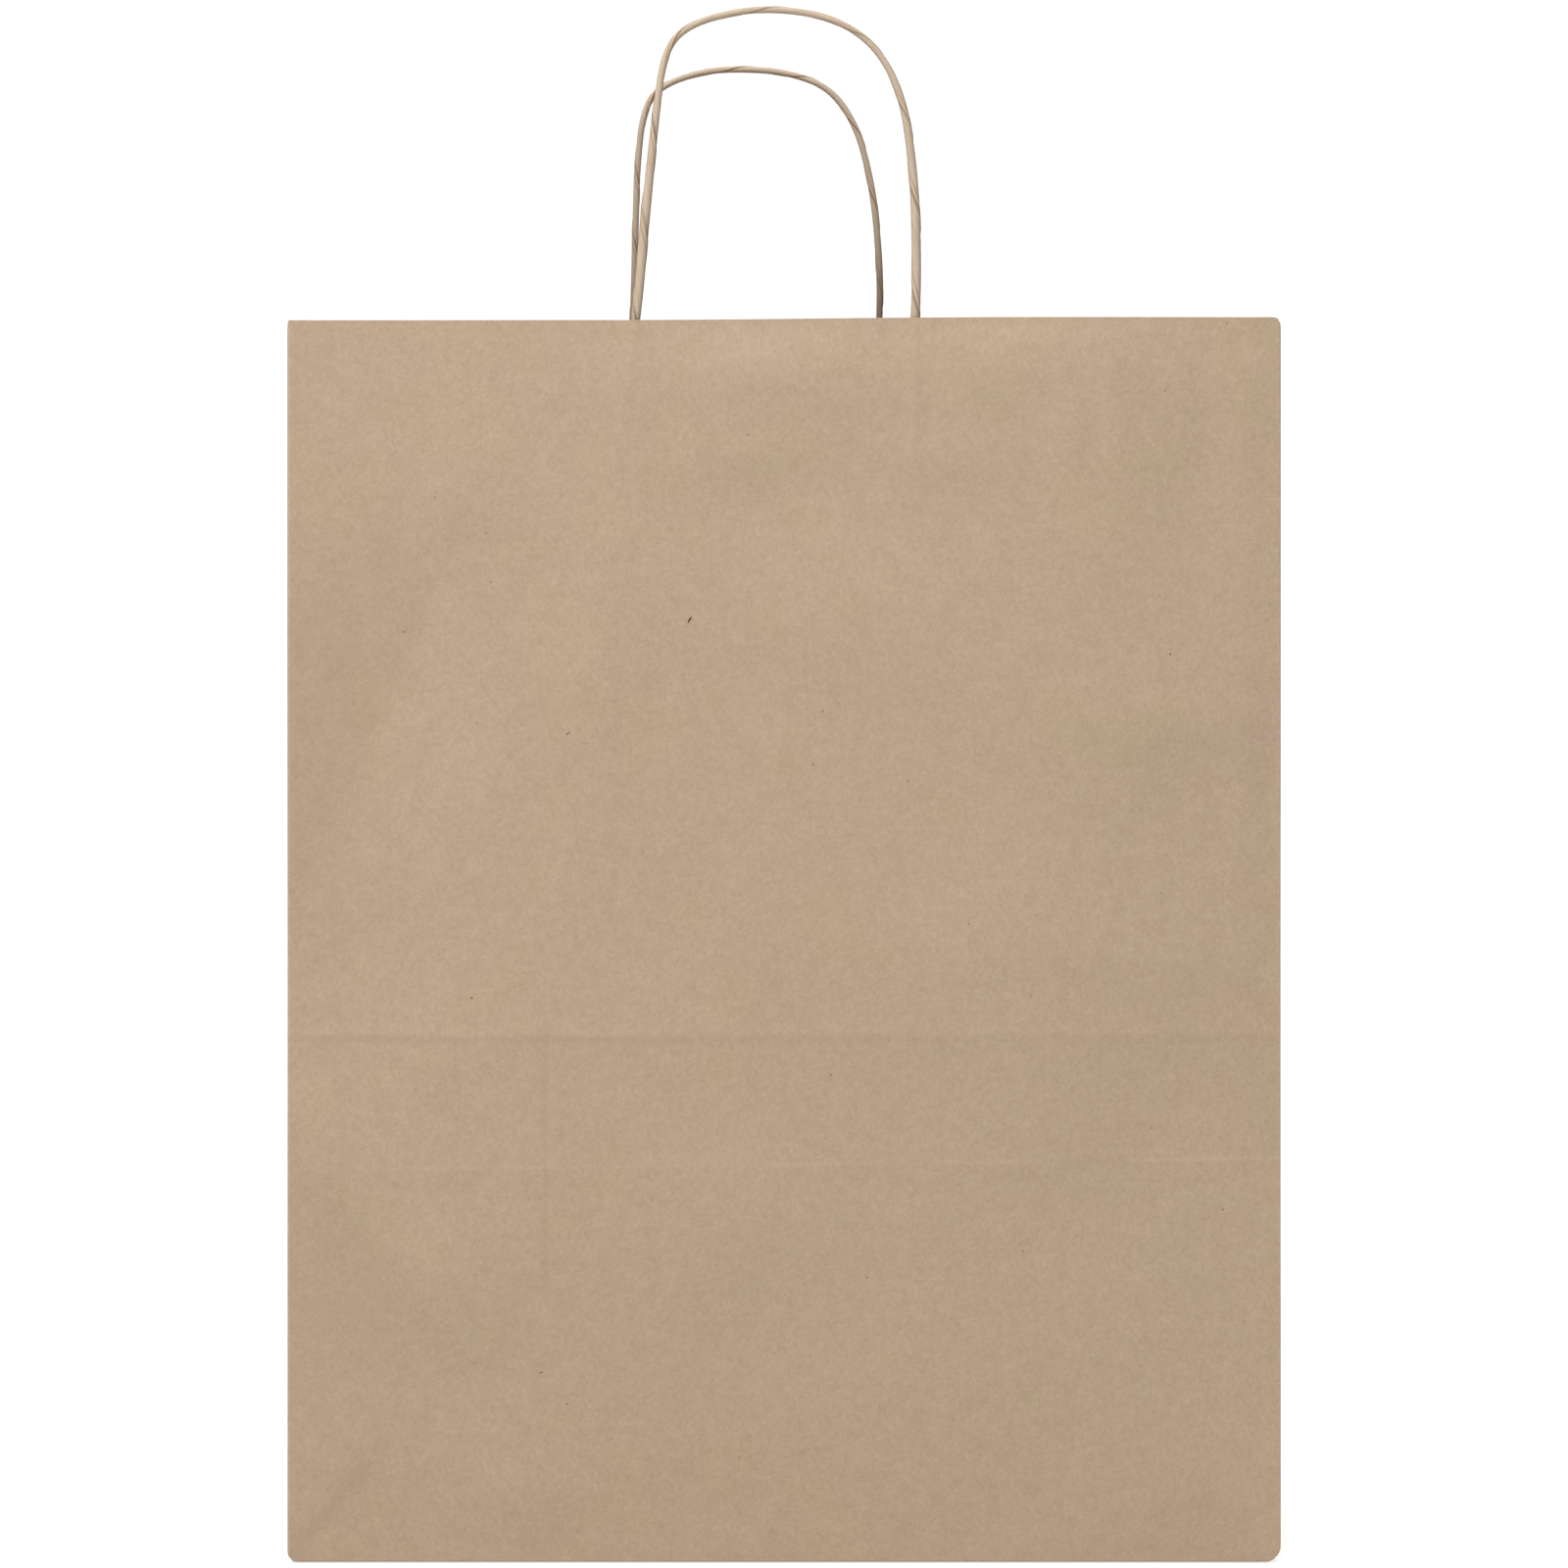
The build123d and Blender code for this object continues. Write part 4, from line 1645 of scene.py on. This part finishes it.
@dataclass(frozen=True)
class TwistedPaper:
    """Kraft strip rolled tight into a rope, with its free edge showing as a slanting line of painted shade."""

    name: str = "twisted_kraft_strip"
    base: tuple = (0.530, 0.412, 0.300, 1.0)
    dark: tuple = (0.400, 0.298, 0.205, 1.0)
    light: tuple = (0.650, 0.535, 0.410, 1.0)
    # the dark colour painted into the seams as shade
    edge: tuple = (0.125, 0.080, 0.046, 1.0)
    warm: tuple = (0.560, 0.385, 0.250, 1.0)
    # the colour of painted shade on the back rope's legs
    painted_shade: tuple = (0.190, 0.132, 0.085, 1.0)

    def make(self, groups: dict[str, bpy.types.NodeTree]) -> bpy.types.Material:
        """Makes the material.

        Args:
            groups: The shared node groups, by name.

        Returns:
            The material.
        """
        material = bpy.data.materials.new(self.name)
        material.use_nodes = True
        w = Wiring(material.node_tree)
        shader = material.node_tree.nodes["Principled BSDF"]
        where = w.add("ShaderNodeTexCoord").outputs["Object"]
        pulp = w.add("ShaderNodeGroup", {"Vector": where}, node_tree=groups["fibres"])
        along = w.add("ShaderNodeAttribute", attribute_name="along").outputs["Fac"]
        around = w.add("ShaderNodeAttribute", attribute_name="around").outputs["Fac"]
        painted_shade_share = w.add("ShaderNodeAttribute", attribute_name="shade").outputs["Fac"]
        across, down = w.math("MULTIPLY", around, 9.0), w.math("MULTIPLY", along, 22.0)
        strip = w.add("ShaderNodeCombineXYZ", {"X": across, "Y": down})
        streak = w.noise(strip.outputs[0], 2.2, 3.0, 0.55)
        patch = w.noise(where, 60.0, 3.0)
        colour = w.blend(w.span(streak, 0.30, 0.70), self.dark, self.light)
        colour = w.blend(0.50, colour, self.base)
        cloud = w.blend(w.span(patch, 0.32, 0.68), self.dark, self.light)
        colour = w.blend(0.30, colour, cloud)
        threads = w.blend(w.span(pulp.outputs["Fibres"], 0.36, 0.64), self.dark, self.light)
        colour = w.blend(0.12, colour, threads)
        band = w.math("MULTIPLY", w.span(around, 0.0, 0.01), w.span(around, 0.17, 0.15))
        broken = w.span(w.noise(where, 60.0, 2.0), 0.38, 0.54, 0.50, 1.0)
        colour = w.blend(w.math("MULTIPLY", w.math("MULTIPLY", band, broken), 0.55), colour, self.warm)
        # painted shade: dark lines along the seams of the rolled strip, broken up by noise
        for middle, reach, strength in ((0.0, 0.056, 1.0), (0.165, 0.030, 0.50), (0.62, 0.020, 0.22)):
            gap = w.math("PINGPONG", w.math("ADD", around, 1.0 - middle), 0.5)
            line = w.math("MULTIPLY", w.span(gap, reach, reach * 0.3), broken)
            colour = w.blend(w.math("MULTIPLY", line, strength), colour, self.edge)
        # painted shade: the legs darken towards the mouth
        colour = w.blend(w.math("MULTIPLY", painted_shade_share, 0.80), colour, self.painted_shade)
        w.tree.links.new(colour, shader.inputs["Base Color"])
        w.tree.links.new(w.span(streak, 0.3, 0.7, 0.68, 0.80), shader.inputs["Roughness"])
        shader.inputs["Specular IOR Level"].default_value = 0.38
        height = w.math("ADD", streak, w.math("MULTIPLY", pulp.outputs["Height"], 0.12))
        bump = w.add("ShaderNodeBump", {"Strength": 0.4, "Distance": 0.00009, "Height": height}).outputs["Normal"]
        w.tree.links.new(bump, shader.inputs["Normal"])
        return material


@dataclass
class Studio:
    """The pale floor, the soft lights and the camera."""

    floor_size: float = 14.0
    eye_height: float = 0.3429
    eye_distance: float = 1.180
    lens: float = 84.16
    shift: float = -0.183
    near_glow: float = 0.62
    far_glow: float = 1.0
    glow_reach: tuple = (0.45, 1.60)
    floor_drop: float = 0.0004

    def floor(self) -> None:
        """A pale floor, well away from being part of the bag."""
        half = self.floor_size / 2
        mesh = bpy.data.meshes.new("studio_floor")
        mesh.from_pydata([(-half, -half, 0), (half, -half, 0), (half, half, 0), (-half, half, 0)], [], [(0, 1, 2, 3)])
        made = bpy.data.objects.new("studio_floor", mesh)
        made.location.z = -self.floor_drop
        bpy.context.scene.collection.objects.link(made)
        material = bpy.data.materials.new("pale_floor")
        material.use_nodes = True
        shader = material.node_tree.nodes["Principled BSDF"]
        shader.inputs["Base Color"].default_value = (0.84, 0.84, 0.84, 1.0)
        shader.inputs["Roughness"].default_value = 0.9
        shader.inputs["Specular IOR Level"].default_value = 0.1
        shader.inputs["Emission Color"].default_value = (1.0, 1.0, 1.0, 1.0)
        w = Wiring(material.node_tree)
        seen = w.add("ShaderNodeLightPath").outputs["Is Camera Ray"]
        away = w.add("ShaderNodeVectorMath", {0: w.add("ShaderNodeTexCoord").outputs["Object"]}, operation="LENGTH")
        glow = w.span(away.outputs["Value"], *self.glow_reach, self.near_glow, self.far_glow)
        w.tree.links.new(w.math("MULTIPLY", seen, glow), shader.inputs["Emission Strength"])
        mesh.materials.append(material)

    def area(self, name: str, place: Sequence[float], aim: Sequence[float], size: float, power: float) -> None:
        """A soft square light.

        Args:
            name: Its name.
            place: Where it hangs.
            aim: What it points at.
            size: Its side.
            power: Its power in watts.
        """
        light = bpy.data.lights.new(name, "AREA")
        light.size, light.energy = size, power
        made = bpy.data.objects.new(name, light)
        made.location = place
        direction = np.array(aim, float) - np.array(place, float)
        made.rotation_euler = (
            math.atan2(math.hypot(direction[0], direction[1]), -direction[2]),
            0.0,
            math.atan2(direction[0], -direction[1]) + math.pi,
        )
        bpy.context.scene.collection.objects.link(made)

    def light(self) -> None:
        """An even white surround with soft light from above the front."""
        scene = bpy.context.scene
        world = bpy.data.worlds.new("studio_world")
        scene.world = world
        world.use_nodes = True
        w = Wiring(world.node_tree)
        surround = world.node_tree.nodes["Background"]
        surround.inputs["Color"].default_value = (1.0, 1.0, 1.0, 1.0)
        seen = w.add("ShaderNodeLightPath").outputs["Is Camera Ray"]
        w.tree.links.new(w.span(seen, 0.0, 1.0, 0.14, 1.10), surround.inputs["Strength"])
        self.area("key_light", (-0.70, -1.17, 2.22), (0.0, -0.05, 0.2), 1.1, 65.4)
        self.area("side_light", (2.0, -0.2, 1.1), (0.0, 0.0, 0.2), 1.4, 6.0)
        self.area("back_light", (0.4, 1.7, 2.0), (0.0, 0.0, 0.2), 1.6, 34.0)
        scene.view_settings.view_transform = "Standard"

    def camera(self) -> None:
        """A level camera facing the front panel."""
        data = bpy.data.cameras.new("camera")
        data.lens = self.lens
        data.sensor_width = 36.0
        data.shift_y = self.shift
        made = bpy.data.objects.new("camera", data)
        made.location = (0.0, -(SIZES.half_depth + self.eye_distance), self.eye_height)
        made.rotation_euler = (math.pi / 2, 0.0, 0.0)
        bpy.context.scene.collection.objects.link(made)
        bpy.context.scene.camera = made

    def build(self) -> None:
        """Builds the studio."""
        self.camera()
        self.light()
        self.floor()


FRONT_ROUTE = (
    (-0.0541, -0.050),
    (-0.0511, -0.024),
    (-0.0473, 0.003),
    (-0.0455, 0.025),
    (-0.0436, 0.045),
    (-0.0413, 0.066),
    (-0.0389, 0.086),
    (-0.0315, 0.095),
    (-0.0145, 0.0999),
    (0.0020, 0.1001),
    (0.0178, 0.0967),
    (0.0304, 0.0876),
    (0.0381, 0.0725),
    (0.0413, 0.0525),
    (0.0425, 0.033),
    (0.0428, 0.017),
    (0.0423, 0.003),
    (0.0418, -0.024),
    (0.0407, -0.050),
)
BACK_ROUTE = (
    (-0.0574, -0.050),
    (-0.0567, -0.024),
    (-0.0557, 0.003),
    (-0.0550, 0.024),
    (-0.0546, 0.045),
    (-0.0539, 0.065),
    (-0.0519, 0.0846),
    (-0.0458, 0.0939),
    (-0.0305, 0.0994),
    (-0.0145, 0.1004),
    (0.0016, 0.099),
    (0.0174, 0.0932),
    (0.0268, 0.079),
    (0.0319, 0.060),
    (0.0346, 0.038),
    (0.0354, 0.0185),
    (0.0349, 0.003),
    (0.0362, -0.024),
    (0.0369, -0.050),
)


def main() -> None:
    """Builds the studio and the bag, piece by piece."""
    logging.basicConfig(level=logging.INFO, format="%(name)s: %(message)s")
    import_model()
    Studio().build()
    groups = {"fibres": fibre_group(), "wear": wear_group(), "fleck": fleck_group()}
    tones = (0.455, 0.335, 0.232, 1.0), (0.385, 0.275, 0.183, 1.0), (0.525, 0.395, 0.283, 1.0)
    paper = KraftPaper("kraft_paper", *tones, flecks=FRONT_FLECKS).make(groups)
    tones = (0.430, 0.312, 0.212, 1.0), (0.360, 0.255, 0.168, 1.0), (0.500, 0.372, 0.262, 1.0)
    strips = KraftPaper("patch_kraft", *tones, shives=0.6).make(groups)
    rolled = TwistedPaper().make(groups)
    front = RopeHandle(Face.FRONT, FRONT_ROUTE, legs=0.00156, arch=0.00114, start_turn=0.42, seed=5)
    back = RopeHandle(Face.BACK, BACK_ROUTE, legs=0.00128, arch=0.00122, start_turn=4.93, seed=9)
    # the back rope's legs take painted shade near the mouth
    back.painted_leg_shade, back.pitch = (0.6, 1.0), 0.0285
    for handle in (front, back):
        handle.build(strips, rolled)
    Panels().build(paper)
    Gussets().build(paper)
    BlockBottom().build(paper)


if __name__ == "__main__":
    main()
